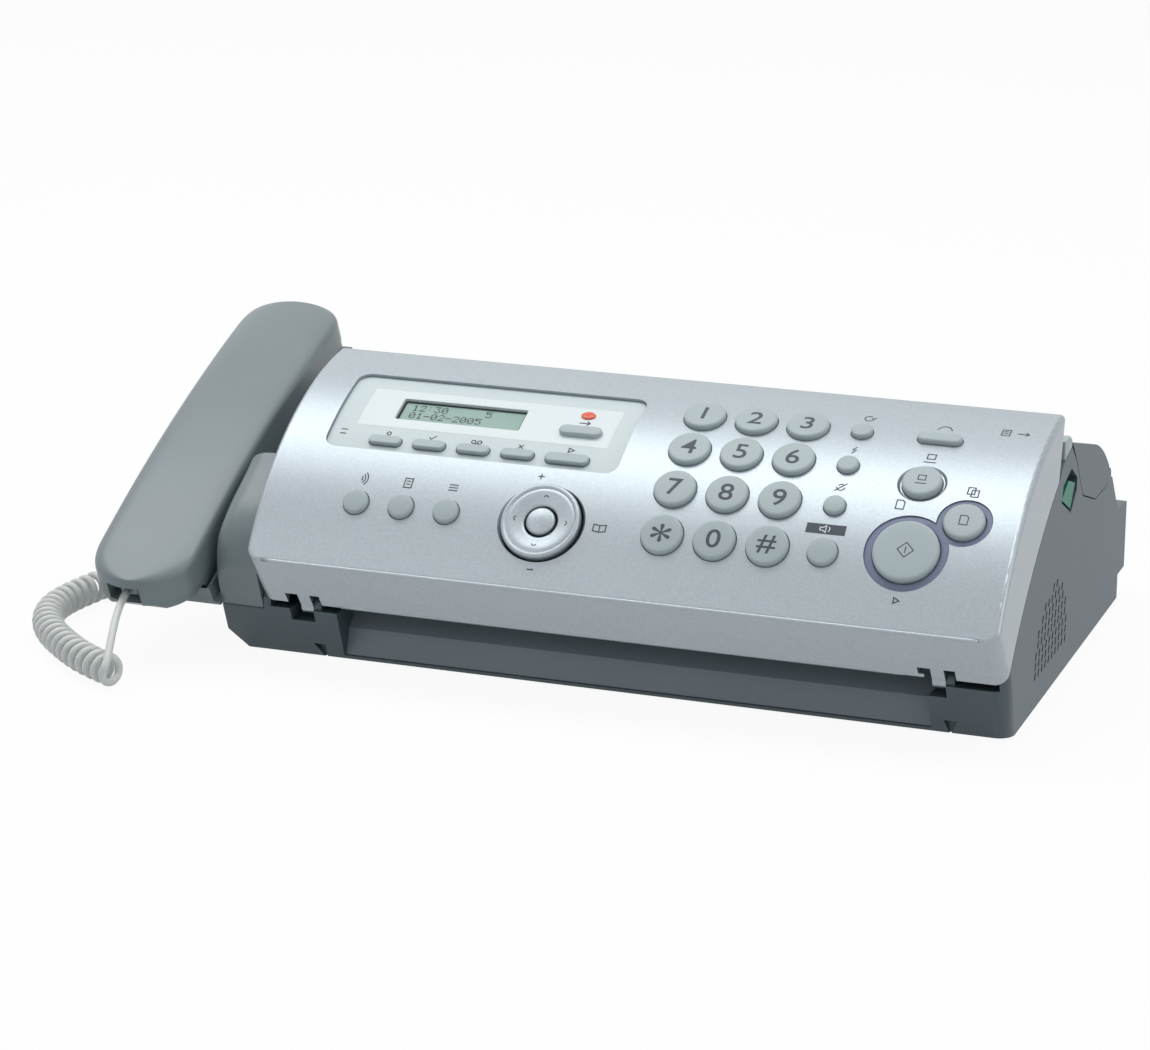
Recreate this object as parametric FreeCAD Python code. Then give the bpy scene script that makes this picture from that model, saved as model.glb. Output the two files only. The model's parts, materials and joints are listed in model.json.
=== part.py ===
"""Desk fax machine with a corded handset, millimetres, +X right, +Y back, +Z up.

The origin is on the floor under the middle of the machine. A curved operation panel hinges open at the
front, a back cover hinges open at the rear, and a handset rests in a cradle on the left.
"""
import FreeCAD
import Part
import math
import os

V = FreeCAD.Vector
os.makedirs("parts", exist_ok=True)

# Overall widths and the walls of the mouldings
RIGHT_X = 177.5            # outer face of the right side wall
COVER_LEFT_X = -114.0      # left edge of the operation panel and of the tub
ANNEX_LEFT_X = -131.6      # left face of the low box that carries the cradle
BASE_WALL = 3.0
COVER_WALL = 2.5
SEAM_GAP = 0.5             # gap between a cover and the housing it closes on
FIT_GAP = 0.1              # gap round an insert that is clipped in place
RUN_GAP = 0.3              # gap round a part that slides
SHAFT_GAP = 0.05           # radial clearance of a shaft in its bearing
OVERCUT = 1.0              # how far a cutting shape passes the face that it cuts
TOOL_REACH = 8.0           # how far a hole's cutting shape goes through the panel
TOOL_SPREAD = 3.0          # how far a curved layer passes the outline that trims it, mm or degrees
NEAR = 0.01                # how close an edge has to be to be picked by its place

# The operation panel is part of a cylinder; its places are angles from the top of that cylinder
PANEL_RADIUS = 123.0
PANEL_AXIS_Y = 6.5
PANEL_AXIS_Z = -17.5
PANEL_REAR_ANGLE = 6.0
PANEL_NOSE_ANGLE = 59.3
SKIRT_BOTTOM_Y = -84.0
SKIRT_BOTTOM_Z = 24.5
SEAM_MID = (-49.0, 58.3)   # cover and base meet along an arc through this point
SEAM_REAR = (-12.9, 80.7)
CORNER_RADIUS = 5.0
CREASE_RADIUS = 2.0

# Front cover hinge and its two arms, which pass through notches in the skirt
FRONT_HINGE_Y = -78.5
FRONT_HINGE_Z = 23.0
HINGE_ARMS_X = (-96.0, 152.0)
HINGE_ARM_WIDTH = 5.0
HINGE_ARM_RADIUS = 3.6
HINGE_PIN_RADIUS = 1.6
HINGE_BRACKET_WIDTH = 3.0
NOTCH_WIDTH = 14.0
NOTCH_TOP_Z = 29.0
WALL_NOTCH_Z = 16.5

# Base housing, side outline
BASE_BOTTOM_Z = 1.2
BASE_FRONT_Y = -75.3
BASE_REAR_Y = 101.0
FRONT_WALL_TOP_Y = -83.0
FRONT_WALL_TOP_Z = 21.5
TRAY_SEAT_FRONT = (-4.0, 86.5)
TRAY_SEAT_REAR = (7.4, 88.8)
BACK_SEAM = ((15.9, 81.5), (28.9, 64.0), (51.8, 56.1), (70.0, 55.9))
REAR_SHOULDER = (82.5, 57.0)
REAR_WAIST = (94.5, 41.5)
TAIL_TOP_Z = 39.5
TAIL_BOTTOM_Z = 11.0
TAIL_Y = 113.0
ANNEX_TOP_Z = 20.0
ANNEX_REAR_Y = 92.0
LEFT_CHAMFER = 7.5
COVER_REST = 0.6           # how far up the seam the housing's front edge starts
WAIST_INNER = (-1.5, -1.5)  # the hollow's corner from the waist, in wall thicknesses
TAIL_STEP = 2.0            # from the waist back to the top of the tail
TAIL_FALL = 1.0            # the tail's top falls this much to the rear

# Speaker grille in the right wall
GRILLE_ROWS = 8
GRILLE_ROW_PITCH = 3.8
GRILLE_SLOT_PITCH = 5.3
GRILLE_SLOT_WIDTH = 1.9
GRILLE_SLOT_HEIGHT = 2.9
GRILLE_SLOT_SLANT = 1.0
GRILLE_LOW_Z = 12.5
GRILLE_FRONT_Y = -44.0
GRILLE_REAR_Y = 8.0
GRILLE_TOP_Y = -12.0
GRILLE_ARCH = 0.97         # 1 closes the arch to a point at the top row

# Back cover
BACK_HINGE_Y = 76.5
BACK_HINGE_Z = 58.6
BACK_BARREL_RADIUS = 3.6
BACK_KNUCKLE_LENGTH = 10.0
BACK_PIN_RADIUS = 1.5
BACK_FRONT_TOP = (8.3, 90.3)
BACK_BEND = (45.6, 80.0)
BACK_ROUND_MID = (64.5, 72.0)
BACK_INNER_FRONT = (1.6, -1.35)   # the hollow's corners from the outer ones, in wall thicknesses
BACK_INNER_BEND = (-0.6, -1.05)
BACK_INNER_ROUND = (-0.7, -0.9)

# Keys
KEY_PROUD = 2.2
KEY_TRAVEL = 1.0
FLANGE_LIP = 1.0
FLANGE_THICK = 1.2
STEM_WIDTH = 3.6
COLUMN_X = (47.0, 67.1, 87.2)
ROW_ANGLES = (19.3, 28.4, 37.6, 46.8)
DIGIT_KEY_DIAMETER = 16.0

# Display
BEZEL_X = (-95.9, 22.4)
BEZEL_ANGLES = (15.5, 35.6)
BEZEL_CORNER = 5.0
BEZEL_DEPTH = 1.4
BEZEL_THICK = 2.4
WINDOW_X = (-73.0, -22.3)
WINDOW_ANGLES = (21.4, 27.1)
WINDOW_CORNER = 1.0
LCD_MARGIN = 4.0
LCD_THICK = 4.5
LED_X = 1.9
LED_ANGLE = 21.4
LED_RADIUS = 1.9
LED_PROUD = 0.6            # above the display frame

# Panel circuit board, a flat board inside the curved cover
BOARD_ANGLE = 33.5
BOARD_DEPTH = 15.0
BOARD_THICK = 1.6
BOARD_X = (-108.0, 172.0)
BOARD_UP = 44.0
BOARD_DOWN = -43.0
BOSS_X = (-104.0, 32.0, 168.0)
BOSS_ANGLES = (14.5, 52.0)
BOSS_RADIUS = 3.0

# Start and copy keys share a two-lobed surround
START_X = 138.1
START_ANGLE = 45.0
START_DIAMETER = 24.6
START_LOBE = 30.8
COPY_X = 156.4
COPY_ANGLE = 38.2
COPY_DIAMETER = 15.4
COPY_LOBE = 20.4
SURROUND_DEPTH = 0.5
SURROUND_THICK = 2.0

# Ring-shaped rocker with a round key in its middle
NAVIGATOR_X = -0.2
NAVIGATOR_ANGLE = 46.8
NAVIGATOR_DIAMETER = 30.6
NAVIGATOR_WELL = 34.0
SET_KEY_DIAMETER = 11.2
NAVIGATOR_GAP = 0.7
STOP_X = 137.0
STOP_ANGLE = 30.7
STOP_DIAMETER = 14.8
STOP_WELL = 18.4
WELL_DEPTH = 1.0

# Handset: a local frame with length along +Y and the outer face towards +Z
HANDSET_X = -156.5
HANDSET_FOOT_Y = -112.0
HANDSET_FOOT_Z = 33.5
HANDSET_TILT = 24.1
HANDSET_LENGTH = 176.0
HANDSET_WIDTH = 42.0
HANDSET_BOW = 5.2          # rise of the outer face between its ends
HANDSET_CROWN = 2.6        # rise of the outer face across its width
HANDSET_EDGE = 2.0
EDGE_BULGE = 0.3           # the rounded edge's middle point, as a share of the edge
EDGE_RISE = 0.1
CROWN_START = 0.2          # share of the crown that is reached at the rounded edge
HANDSET_SIDE = 10.0        # depth of the outer shell's side wall
FOOT_ROUND = 17.0
HEAD_ROUND = 10.0
INNER_INSET = 1.3
GRIP_DEPTH = 13.8
MOUTH_SPAN = (25.0, 52.0)
MOUTH_DEPTH = 22.0
EAR_SPAN = (126.0, 168.0)
EAR_DEPTH = 27.0
CAP_SLOPE = 5.0
INNER_TOE = 2.0            # the inner shell's slanted ends
INNER_TOE_RISE = 1.0

# Cradle
CHEEK_RADIUS = 117.0       # the cheek beside the panel follows the panel's cylinder
CHEEK_RIGHT_X = -114.5
CHEEK_NOSE_ANGLE = 57.0
CHEEK_UNDERCUT = 9.6       # the cheek's foot lies this far behind its nose
CHEEK_DROP = 4.0           # below the back cover's bend
CHEEK_REAR_DROP = 24.0
CHEEK_REAR_Y = 66.0
WING_LEFT_X = -174.5
WING_TOP = -15.5
WING_SPAN = (19.5, 172.0)
WING_FRONT_BOTTOM = -24.5
WING_REAR_BOTTOM = -32.0
RIM_TOP = -9.5
RIM_THICK = 2.7
RIM_REAR_CUT = 12.0        # the rim's slanted rear end
WELL_FLARE = (1.0, 4.0)    # how much wider a well opens at its front and rear
WELL_GAP = 1.0
SEAT_GAP = 0.3
CRADLE_CORNER = 4.0

# Hook switch
HOOK_ALONG = 112.0
HOOK_SIZE = 6.0
HOOK_LENGTH = 9.0
HOOK_CHAMFER = 0.8

# Rollers, cores and bars between the side walls: axis Y and Z
PLATEN_AXIS = (28.0, 52.0)
PLATEN_RADIUS = 8.0
FEED_AXIS = (-24.0, 62.0)
FEED_RADIUS = 6.0
SUPPLY_AXIS = (58.0, 32.0)
SUPPLY_RADIUS = 11.0
TAKE_UP_AXIS = (-7.0, 46.0)
TAKE_UP_RADIUS = 8.0
SHAFT_RADIUS = 2.5
SHAFT_SEAT = 2.0
ROLLER_X = (-88.0, 148.0)
HEAD_BAR = (12.0, 6.0)
HEAD_RIDGE = 1.5           # half width and height of the heating line's ridge
SENSOR_BAR = (14.0, 10.0)
SENSOR_CORNER = (-46.0, 46.0)
SENSOR_BEVEL = 3.0

# Fixed works on the floor and the walls of the tub
MAIN_BOARD_X = (-70.0, 112.0)
MAIN_BOARD_Y = (-58.0, 38.0)
MAIN_BOARD_Z = 9.0
MAIN_BOARD_THICK = 1.6
BOARD_POST_INSET = 5.0
TRANSFORMER = ((70.0, 98.0), (-50.0, -26.0), 16.0)   # X, Y and height of each thing on the board
PROCESSOR = ((20.0, 44.0), (-20.0, 4.0), 3.0)
HEAT_SINK = ((-60.0, -52.0), (-40.0, 10.0), 12.0)
MODEM_CHIP = ((-30.0, -6.0), (-45.0, -30.0), 2.5)
CAPACITORS = ((60.0, 8.0), (60.0, 24.0), (88.0, 16.0))
CAPACITOR_RADIUS = 5.0
CAPACITOR_HEIGHT = 14.0
MOTOR_AXIS = (-37.0, 24.0)
MOTOR_RADIUS = 15.0
MOTOR_LENGTH = 24.0
MOTOR_FLANGE = 2.0
MOTOR_EAR = 5.0            # the flange's ears stand this far out
MOTOR_EAR_HALF = 6.0
SPEAKER_AXIS = (-18.0, 25.0)
SPEAKER_RADIUS = 19.5
SPEAKER_LENGTH = 12.0
SPEAKER_RIM = 5.0
SPEAKER_MAGNET = 12.0
FOOT_RADIUS = 6.0
FOOT_HEIGHT = 2.2
FEET_X = (-100.0, 160.0)
FEET_Y = (-60.0, 86.0)

# Release lever in a pocket of the right wall
LEVER_OUTLINE = ((5.0, 76.5), (16.0, 72.8), (9.0, 64.5), (-5.5, 71.8))
LEVER_POCKET = ((-6.8, 71.0), (-5.0, 77.2), (8.0, 80.6), (18.6, 74.2), (18.0, 69.4), (9.3, 62.8))
LEVER_BLOCK = ((-10.5, 69.0), (-8.6, 79.0), (8.0, 84.0), (16.0, 79.0), (21.4, 72.0), (21.0, 66.0),
               (9.0, 59.0))
LEVER_PIVOT = (9.0, 67.6)
LEVER_THICK = 6.0
LEVER_PIN_RADIUS = 1.5
LEVER_PIN_LENGTH = 2.0

# Document tray and its two sliding guides
TRAY_TOP_Z = 94.0
TRAY_CREST_Y = 4.5
TRAY_REAR_Z = 92.0
GUIDE_SLOT = (-0.8, 2.2)
GUIDE_SLOT_DEPTH = 3.0
GUIDE_SLOT_END = 2.0
GUIDE_LENGTH = 26.0
GUIDE_PLATE = 2.0
GUIDE_HEIGHT = 6.5
GUIDE_FOOT_INSET = 2.0
GUIDE_SETBACK = 0.5        # behind the front edge of the tray
DOCUMENT_WIDTH = 216.0

# Paper comes out at the front over a ramp that leans back between two blocks of the housing
RAMP_X = (-83.6, 148.0)
RAMP_FOOT_Y = -74.6
RAMP_BEND = (-71.0, 12.5)
RAMP_TOP = (-62.0, 21.5)
RAMP_THICK = 1.6
RAMP_LIP = 1.5             # the housing's floor edge below the foot of the ramp
LIP_RADIUS = 1.9           # rolled lower edge of the skirt above the ramp

# Paper goes in through a slot in the rear slope
INLET_X = (-78.0, 142.0)
INLET_Y = (84.0, 92.0)

# Small wedges at the lower front edge: left, right and tip of each
WEDGE_NOTCHES = ((-95.9, -90.8, -91.0), (153.0, 158.0, 155.0))
WEDGE_HEIGHT = 6.5
WEDGE_DEPTH = 4.0
BASE_CORNER = 6.0

# Curly cord: its wire, its curls and the middle line of the curls on the floor
CORD_DIAMETER = 3.0
CURL_DIAMETER = 9.6        # across the middle of the wire
CURL_PITCH = 5.3
CURL_START_TURN = 40.0     # where the wire joins the first curl, degrees from the top
CORD_SIDES = 5
CURL_REST = 0.4            # gap from the curls to the floor
CURL_ROUTE = ((-152.5, -134.0), (-168.0, -126.0), (-184.5, -112.5), (-200.0, -97.0), (-209.5, -78.5),
              (-210.5, -58.0), (-205.5, -38.0))
ROUTE_TRIM = 0.45          # share of the shorter run that each corner's arc takes
GAP_STEP = 0.8             # spacing of the points that the cord's gap to itself is measured on
TAIL_POINTS = ((-193.0, -10.0, 2.6), (-160.0, 20.0, 6.0))
PLUG_SIZE = (6.6, 6.0)
PLUG_LENGTH = 9.0
JACK_GAP = 0.15
BASE_JACK_Y = 25.0
BASE_JACK_Z = 12.5
HANDSET_JACK_SIDE = -3.5   # sideways from the middle of the handset
HANDSET_JACK_DEPTH = -6.2
JACK_OPENING = (15.0, 7.2)
JACK_OPENING_LENGTH = 14.0


# Small tools for outlines, extrusions and places

def yz(point, x=0.0):
    """A point of the side outline as a vector."""
    return V(x, point[0], point[1])


def outline(steps):
    """A closed wire through steps; a step is a point, or an arc's middle and end points."""
    edges = []
    first = steps[0]
    here = first
    for step in list(steps[1:]) + [first]:
        if isinstance(step[0], tuple):
            middle, end = step
            edges.append(Part.Arc(yz(here), yz(middle), yz(end)).toShape())
            here = end
        elif step != here:
            edges.append(Part.LineSegment(yz(here), yz(step)).toShape())
            here = step
    return Part.Wire(edges)


def extrude_x(steps, x_from, x_to):
    """The side outline pushed along X."""
    face = Part.Face(outline(steps))
    face.translate(V(x_from, 0, 0))
    return face.extrude(V(x_to - x_from, 0, 0))


def moved(point, step, size):
    """A point of the side view moved by a step that is counted in a size."""
    return (point[0] + step[0] * size, point[1] + step[1] * size)


def rod_x(axis, radius, x_from, x_to):
    """A cylinder along X about a point of the side view."""
    return Part.makeCylinder(radius, x_to - x_from, yz(axis, x_from), V(1, 0, 0))


def block(x, y, z):
    """A box from three pairs of limits."""
    return Part.makeBox(x[1] - x[0], y[1] - y[0], z[1] - z[0], V(x[0], y[0], z[0]))


def panel_point(angle, depth=0.0):
    """A point on the panel's cylinder, or depth below it, in the side view."""
    turn = math.radians(angle)
    reach = PANEL_RADIUS - depth
    return (PANEL_AXIS_Y - reach * math.sin(turn), PANEL_AXIS_Z + reach * math.cos(turn))


def panel_place(x, angle, depth=0.0):
    """A place on the panel with its local Z along the outward normal and its local Y up the slope."""
    y, z = panel_point(angle, depth)
    return FreeCAD.Placement(V(x, y, z), FreeCAD.Rotation(V(1, 0, 0), angle))


def on_panel(shape, x, angle, depth=0.0):
    """A copy of a shape made at the origin, moved to its place on the panel."""
    copy = shape.copy()
    copy.Placement = panel_place(x, angle, depth).multiply(shape.Placement)
    return copy


def disc(diameter, top, bottom):
    """A round plug between two heights."""
    return Part.makeCylinder(diameter / 2, top - bottom, V(0, 0, bottom))


def pill(length, width, top, bottom):
    """A plug with a slot-shaped outline between two heights."""
    half = width / 2
    run = length / 2 - half
    corners = [V(-run, -half, 0), V(run, -half, 0), V(run, half, 0), V(-run, half, 0)]
    edges = [
        Part.LineSegment(corners[0], corners[1]).toShape(),
        Part.Arc(corners[1], V(run + half, 0, 0), corners[2]).toShape(),
        Part.LineSegment(corners[2], corners[3]).toShape(),
        Part.Arc(corners[3], V(-run - half, 0, 0), corners[0]).toShape(),
    ]
    plug = Part.Face(Part.Wire(edges)).extrude(V(0, 0, top - bottom))
    plug.translate(V(0, 0, bottom))
    return plug


def rounded_plate(width, height, corner, top, bottom):
    """A plate with rounded corners, centred, between two heights."""
    plate = Part.makeBox(width, height, top - bottom, V(-width / 2, -height / 2, bottom))
    upright = [e for e in plate.Edges if abs(e.BoundBox.ZLength - (top - bottom)) < 1e-6]
    return plate.makeFillet(corner, upright)


def panel_layer(depth_top, depth_bottom, x, angles):
    """A curved plate that follows the panel between two depths."""
    middle = (angles[0] + angles[1]) / 2
    return extrude_x([
        panel_point(angles[0], depth_top),
        (panel_point(middle, depth_top), panel_point(angles[1], depth_top)),
        panel_point(angles[1], depth_bottom),
        (panel_point(middle, depth_bottom), panel_point(angles[0], depth_bottom)),
    ], x[0], x[1])


def drop(half):
    """How far the panel falls away at half a width from where it is touched."""
    return half * half / (2 * (PANEL_RADIUS - COVER_WALL))


def board_depth(angle):
    """Depth of the flat circuit board below the curved panel."""
    return PANEL_RADIUS - (PANEL_RADIUS - BOARD_DEPTH) / math.cos(math.radians(angle - BOARD_ANGLE))


# Keys: name, X, angle, outline and the layer that guides it

ROUND = "round"
PILL = "pill"
KEYS = []


def add_key(name, x, angle, shape, length, width=0.0, guide=0.0, proud=KEY_PROUD):
    """Note a key; guide is the depth of the top of the wall that it passes through."""
    KEYS.append({"name": name, "x": x, "angle": angle, "shape": shape, "length": length,
                 "width": width or length, "guide": guide, "proud": proud})


DIGIT_NAMES = (("1", "2", "3"), ("4", "5", "6"), ("7", "8", "9"), ("star", "0", "hash"))
for row, names in enumerate(DIGIT_NAMES):
    for column, digit in enumerate(names):
        add_key("key_" + digit, COLUMN_X[column], ROW_ANGLES[row], ROUND, DIGIT_KEY_DIAMETER)

SIDE_KEYS_X = 107.9
SIDE_KEY_DIAMETER = 8.2
SPEAKERPHONE_DIAMETER = 11.2
for row, name in enumerate(("redial_key", "flash_key", "mute_key")):
    add_key(name, SIDE_KEYS_X, ROW_ANGLES[row], ROUND, SIDE_KEY_DIAMETER)
add_key("speakerphone_key", SIDE_KEYS_X, ROW_ANGLES[3], ROUND, SPEAKERPHONE_DIAMETER)

CALLER_ID_X = 137.5
CALLER_ID_SIZE = (17.0, 5.8)
add_key("caller_id_key", CALLER_ID_X, ROW_ANGLES[0], PILL, *CALLER_ID_SIZE)
add_key("stop_key", STOP_X, STOP_ANGLE, ROUND, STOP_DIAMETER)
add_key("start_key", START_X, START_ANGLE, ROUND, START_DIAMETER, guide=SURROUND_DEPTH)
add_key("copy_key", COPY_X, COPY_ANGLE, ROUND, COPY_DIAMETER, guide=SURROUND_DEPTH)

FUNCTION_X = -74.5
FUNCTION_PITCH = 18.25
FUNCTION_DIAMETER = 10.0
for place, name in enumerate(("broadcast_key", "report_key", "menu_key")):
    add_key(name, FUNCTION_X + place * FUNCTION_PITCH, ROW_ANGLES[3], ROUND, FUNCTION_DIAMETER)

MESSAGE_X = -72.2
MESSAGE_PITCH = 17.9
MESSAGE_ANGLE = 33.0
MESSAGE_SIZE = (13.2, 4.6)
for place, name in enumerate(("greeting_rec_key", "greeting_check_key", "memo_key", "erase_key")):
    add_key(name, MESSAGE_X + place * MESSAGE_PITCH, MESSAGE_ANGLE, PILL, *MESSAGE_SIZE, guide=BEZEL_DEPTH)
PLAYBACK_X = 1.4
PLAYBACK_SIZE = (17.4, 5.2)
add_key("playback_key", PLAYBACK_X, MESSAGE_ANGLE, PILL, *PLAYBACK_SIZE, guide=BEZEL_DEPTH)
ANSWER_X = 2.1
ANSWER_ANGLE = 26.0
ANSWER_SIZE = (17.0, 5.6)
add_key("auto_answer_key", ANSWER_X, ANSWER_ANGLE, PILL, *ANSWER_SIZE, guide=BEZEL_DEPTH)
add_key("set_key", NAVIGATOR_X, NAVIGATOR_ANGLE, ROUND, SET_KEY_DIAMETER)


def key_plug(key, extra, top, bottom):
    """The key's outline, grown by extra, as a plug."""
    if key["shape"] == ROUND:
        return disc(key["length"] + 2 * extra, top, bottom)
    return pill(key["length"] + 2 * extra, key["width"] + 2 * extra, top, bottom)


def wall_under(key):
    """Depth of the underside of the wall that guides a key."""
    if key["guide"] == BEZEL_DEPTH:
        return BEZEL_DEPTH + BEZEL_THICK
    if key["guide"] == SURROUND_DEPTH:
        return SURROUND_DEPTH + SURROUND_THICK
    return COVER_WALL


def make_key(key):
    """A cap, a lip across it that stops it under the wall, and a stem down to its switch."""
    half_x = key["length"] / 2 - STEM_WIDTH / 2
    half_y = key["width"] / 2 + FLANGE_LIP
    lip_top = -wall_under(key) - drop(half_y) - RUN_GAP
    cap = key_plug(key, 0.0, key["proud"] - key["guide"], lip_top)
    lip = block((-half_x, half_x), (-half_y, half_y), (lip_top - FLANGE_THICK, lip_top))
    half_stem = STEM_WIDTH / 2
    stem_end = -board_depth(key["angle"]) + KEY_TRAVEL + RUN_GAP + half_stem * math.tan(
        math.radians(abs(key["angle"] - BOARD_ANGLE)))
    stem = block((-half_stem, half_stem), (-half_stem, half_stem), (stem_end, lip_top - FLANGE_THICK))
    whole = cap.fuse([lip, stem]).removeSplitter()
    return on_panel(whole, key["x"], key["angle"])


def key_hole(key, deep):
    """The hole that a key slides in."""
    return on_panel(key_plug(key, RUN_GAP, deep, -deep), key["x"], key["angle"])


def navigator_ring():
    """A rocking ring round the middle key, hollow underneath for that key's lip."""
    outer = disc(NAVIGATOR_DIAMETER, KEY_PROUD, -COVER_WALL - drop(NAVIGATOR_DIAMETER / 2) - FLANGE_THICK)
    room = SET_KEY_DIAMETER / 2 + FLANGE_LIP + 2 * NAVIGATOR_GAP
    hollow = block((-room, room), (-room, room), (-BOARD_DEPTH, KEY_PROUD / 2))
    eye = disc(SET_KEY_DIAMETER + 2 * NAVIGATOR_GAP, 2 * KEY_PROUD, -BOARD_DEPTH)
    return on_panel(outer.cut(hollow.fuse(eye)), NAVIGATOR_X, NAVIGATOR_ANGLE)



# Front cover

def cover_profile(inset):
    """Side outline of the cover, drawn in by inset on every side but the open bottom."""
    crease = panel_point(PANEL_NOSE_ANGLE)
    lean = math.atan2(SKIRT_BOTTOM_Y - crease[0], crease[1] - SKIRT_BOTTOM_Z)
    half_turn = (math.pi / 2 - math.radians(PANEL_NOSE_ANGLE) + lean) / 2
    back_off = math.degrees(inset * math.tan(half_turn) / PANEL_RADIUS)
    nose = panel_point(PANEL_NOSE_ANGLE - back_off, inset)
    rear = panel_point(PANEL_REAR_ANGLE + math.degrees(inset / PANEL_RADIUS), inset)
    middle = panel_point((PANEL_NOSE_ANGLE + PANEL_REAR_ANGLE) / 2, inset)
    shift = inset / math.cos(lean)
    return [
        (SKIRT_BOTTOM_Y + shift, SKIRT_BOTTOM_Z),
        nose,
        (middle, rear),
        (SEAM_REAR[0] - inset, SEAM_REAR[1]),
        (SEAM_MID, (SKIRT_BOTTOM_Y + shift, SKIRT_BOTTOM_Z)),
    ]


def front_cover():
    """The operation panel: a curved shell with a leaning skirt, side walls, key holes and hinge arms."""
    body = extrude_x(cover_profile(0.0), COVER_LEFT_X, RIGHT_X)
    nose = panel_point(PANEL_NOSE_ANGLE)
    upright = [e for e in body.Edges if e.BoundBox.XLength < 1e-6
               and abs(e.BoundBox.YMin - nose[0]) < NEAR and e.BoundBox.ZMax < nose[1] + NEAR]
    body = body.makeFillet(CORNER_RADIUS, upright)
    creases = [e for e in body.Edges if e.BoundBox.ZMin > nose[1] - CREASE_RADIUS
               and e.BoundBox.YMin < nose[0] + CORNER_RADIUS]
    body = body.makeFillet(CREASE_RADIUS, creases)
    hollow = cover_profile(COVER_WALL)
    low = (SEAM_REAR[0] + BASE_WALL, SKIRT_BOTTOM_Z - COVER_WALL)
    cavity = extrude_x(hollow[:4] + [low, (hollow[0][0], low[1])],
                       COVER_LEFT_X + COVER_WALL, RIGHT_X - COVER_WALL)
    body = body.cut(cavity)
    for arm_x in HINGE_ARMS_X:
        notch = block((arm_x - NOTCH_WIDTH / 2, arm_x + NOTCH_WIDTH / 2),
                      (nose[0], FRONT_HINGE_Y), (SKIRT_BOTTOM_Z - COVER_WALL, NOTCH_TOP_Z))
        body = body.cut(notch)
    extras = []
    for arm_x in HINGE_ARMS_X:
        half = HINGE_ARM_WIDTH / 2
        eye = rod_x((FRONT_HINGE_Y, FRONT_HINGE_Z), HINGE_ARM_RADIUS, arm_x - half, arm_x + half)
        top = NOTCH_TOP_Z + 2 * HINGE_ARM_RADIUS
        lean = (panel_point(PANEL_NOSE_ANGLE)[0] - SKIRT_BOTTOM_Y) / (nose[1] - SKIRT_BOTTOM_Z)
        skirt_top_y = SKIRT_BOTTOM_Y + lean * (top - SKIRT_BOTTOM_Z) + COVER_WALL / 2
        neck = extrude_x([
            (FRONT_HINGE_Y - HINGE_ARM_RADIUS, FRONT_HINGE_Z),
            (skirt_top_y, top),
            (skirt_top_y + 2 * HINGE_ARM_RADIUS, top),
            (FRONT_HINGE_Y + HINGE_ARM_RADIUS, FRONT_HINGE_Z),
        ], arm_x - half, arm_x + half)
        pin = rod_x((FRONT_HINGE_Y, FRONT_HINGE_Z), HINGE_PIN_RADIUS, arm_x + half,
                    arm_x + half + RUN_GAP + HINGE_BRACKET_WIDTH)
        extras += [eye, neck, pin]
    for boss_x in BOSS_X:
        for angle in BOSS_ANGLES:
            post = block((-BOSS_RADIUS, BOSS_RADIUS), (-BOSS_RADIUS, BOSS_RADIUS),
                         (0.0, PANEL_RADIUS))
            along = (PANEL_RADIUS - BOARD_DEPTH) * math.tan(math.radians(BOARD_ANGLE - angle))
            post.translate(V(boss_x, along, 0))
            inside = rod_x((PANEL_AXIS_Y, PANEL_AXIS_Z), PANEL_RADIUS - COVER_WALL / 2, COVER_LEFT_X, RIGHT_X)
            extras.append(on_panel(post, 0.0, BOARD_ANGLE, BOARD_DEPTH).common(inside))
    extras.append(rod_x((SKIRT_BOTTOM_Y + LIP_RADIUS, SKIRT_BOTTOM_Z + LIP_RADIUS / 2), LIP_RADIUS,
                        RAMP_X[0] + LIP_RADIUS, RAMP_X[1] - LIP_RADIUS - NOTCH_WIDTH / 2))
    body = body.fuse(extras).removeSplitter()
    cuts = [bezel_prism(FIT_GAP), surround_prism(FIT_GAP)]
    for key in KEYS:
        if key["guide"] == 0.0 and key["name"] not in ("set_key",):
            cuts.append(key_hole(key, 2 * COVER_WALL))
    cuts.append(on_panel(disc(NAVIGATOR_DIAMETER + 2 * NAVIGATOR_GAP, 2 * COVER_WALL, -2 * COVER_WALL),
                         NAVIGATOR_X, NAVIGATOR_ANGLE))
    for x, angle, well in ((NAVIGATOR_X, NAVIGATOR_ANGLE, NAVIGATOR_WELL), (STOP_X, STOP_ANGLE, STOP_WELL)):
        cone = Part.makeCone(well / 2 - WELL_DEPTH, well / 2 + WELL_DEPTH, 2 * WELL_DEPTH,
                             V(0, 0, -WELL_DEPTH))
        cuts.append(on_panel(cone, x, angle))
    return body.cut(cuts)


def bezel_prism(extra):
    """A rounded prism through the panel where the display frame sits."""
    middle = (BEZEL_ANGLES[0] + BEZEL_ANGLES[1]) / 2
    height = 2 * PANEL_RADIUS * math.sin(math.radians((BEZEL_ANGLES[1] - BEZEL_ANGLES[0]) / 2))
    width = BEZEL_X[1] - BEZEL_X[0]
    plate = rounded_plate(width + 2 * extra, height + 2 * extra, BEZEL_CORNER,
                          TOOL_REACH, -TOOL_REACH)
    return on_panel(plate, (BEZEL_X[0] + BEZEL_X[1]) / 2, middle)


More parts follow.
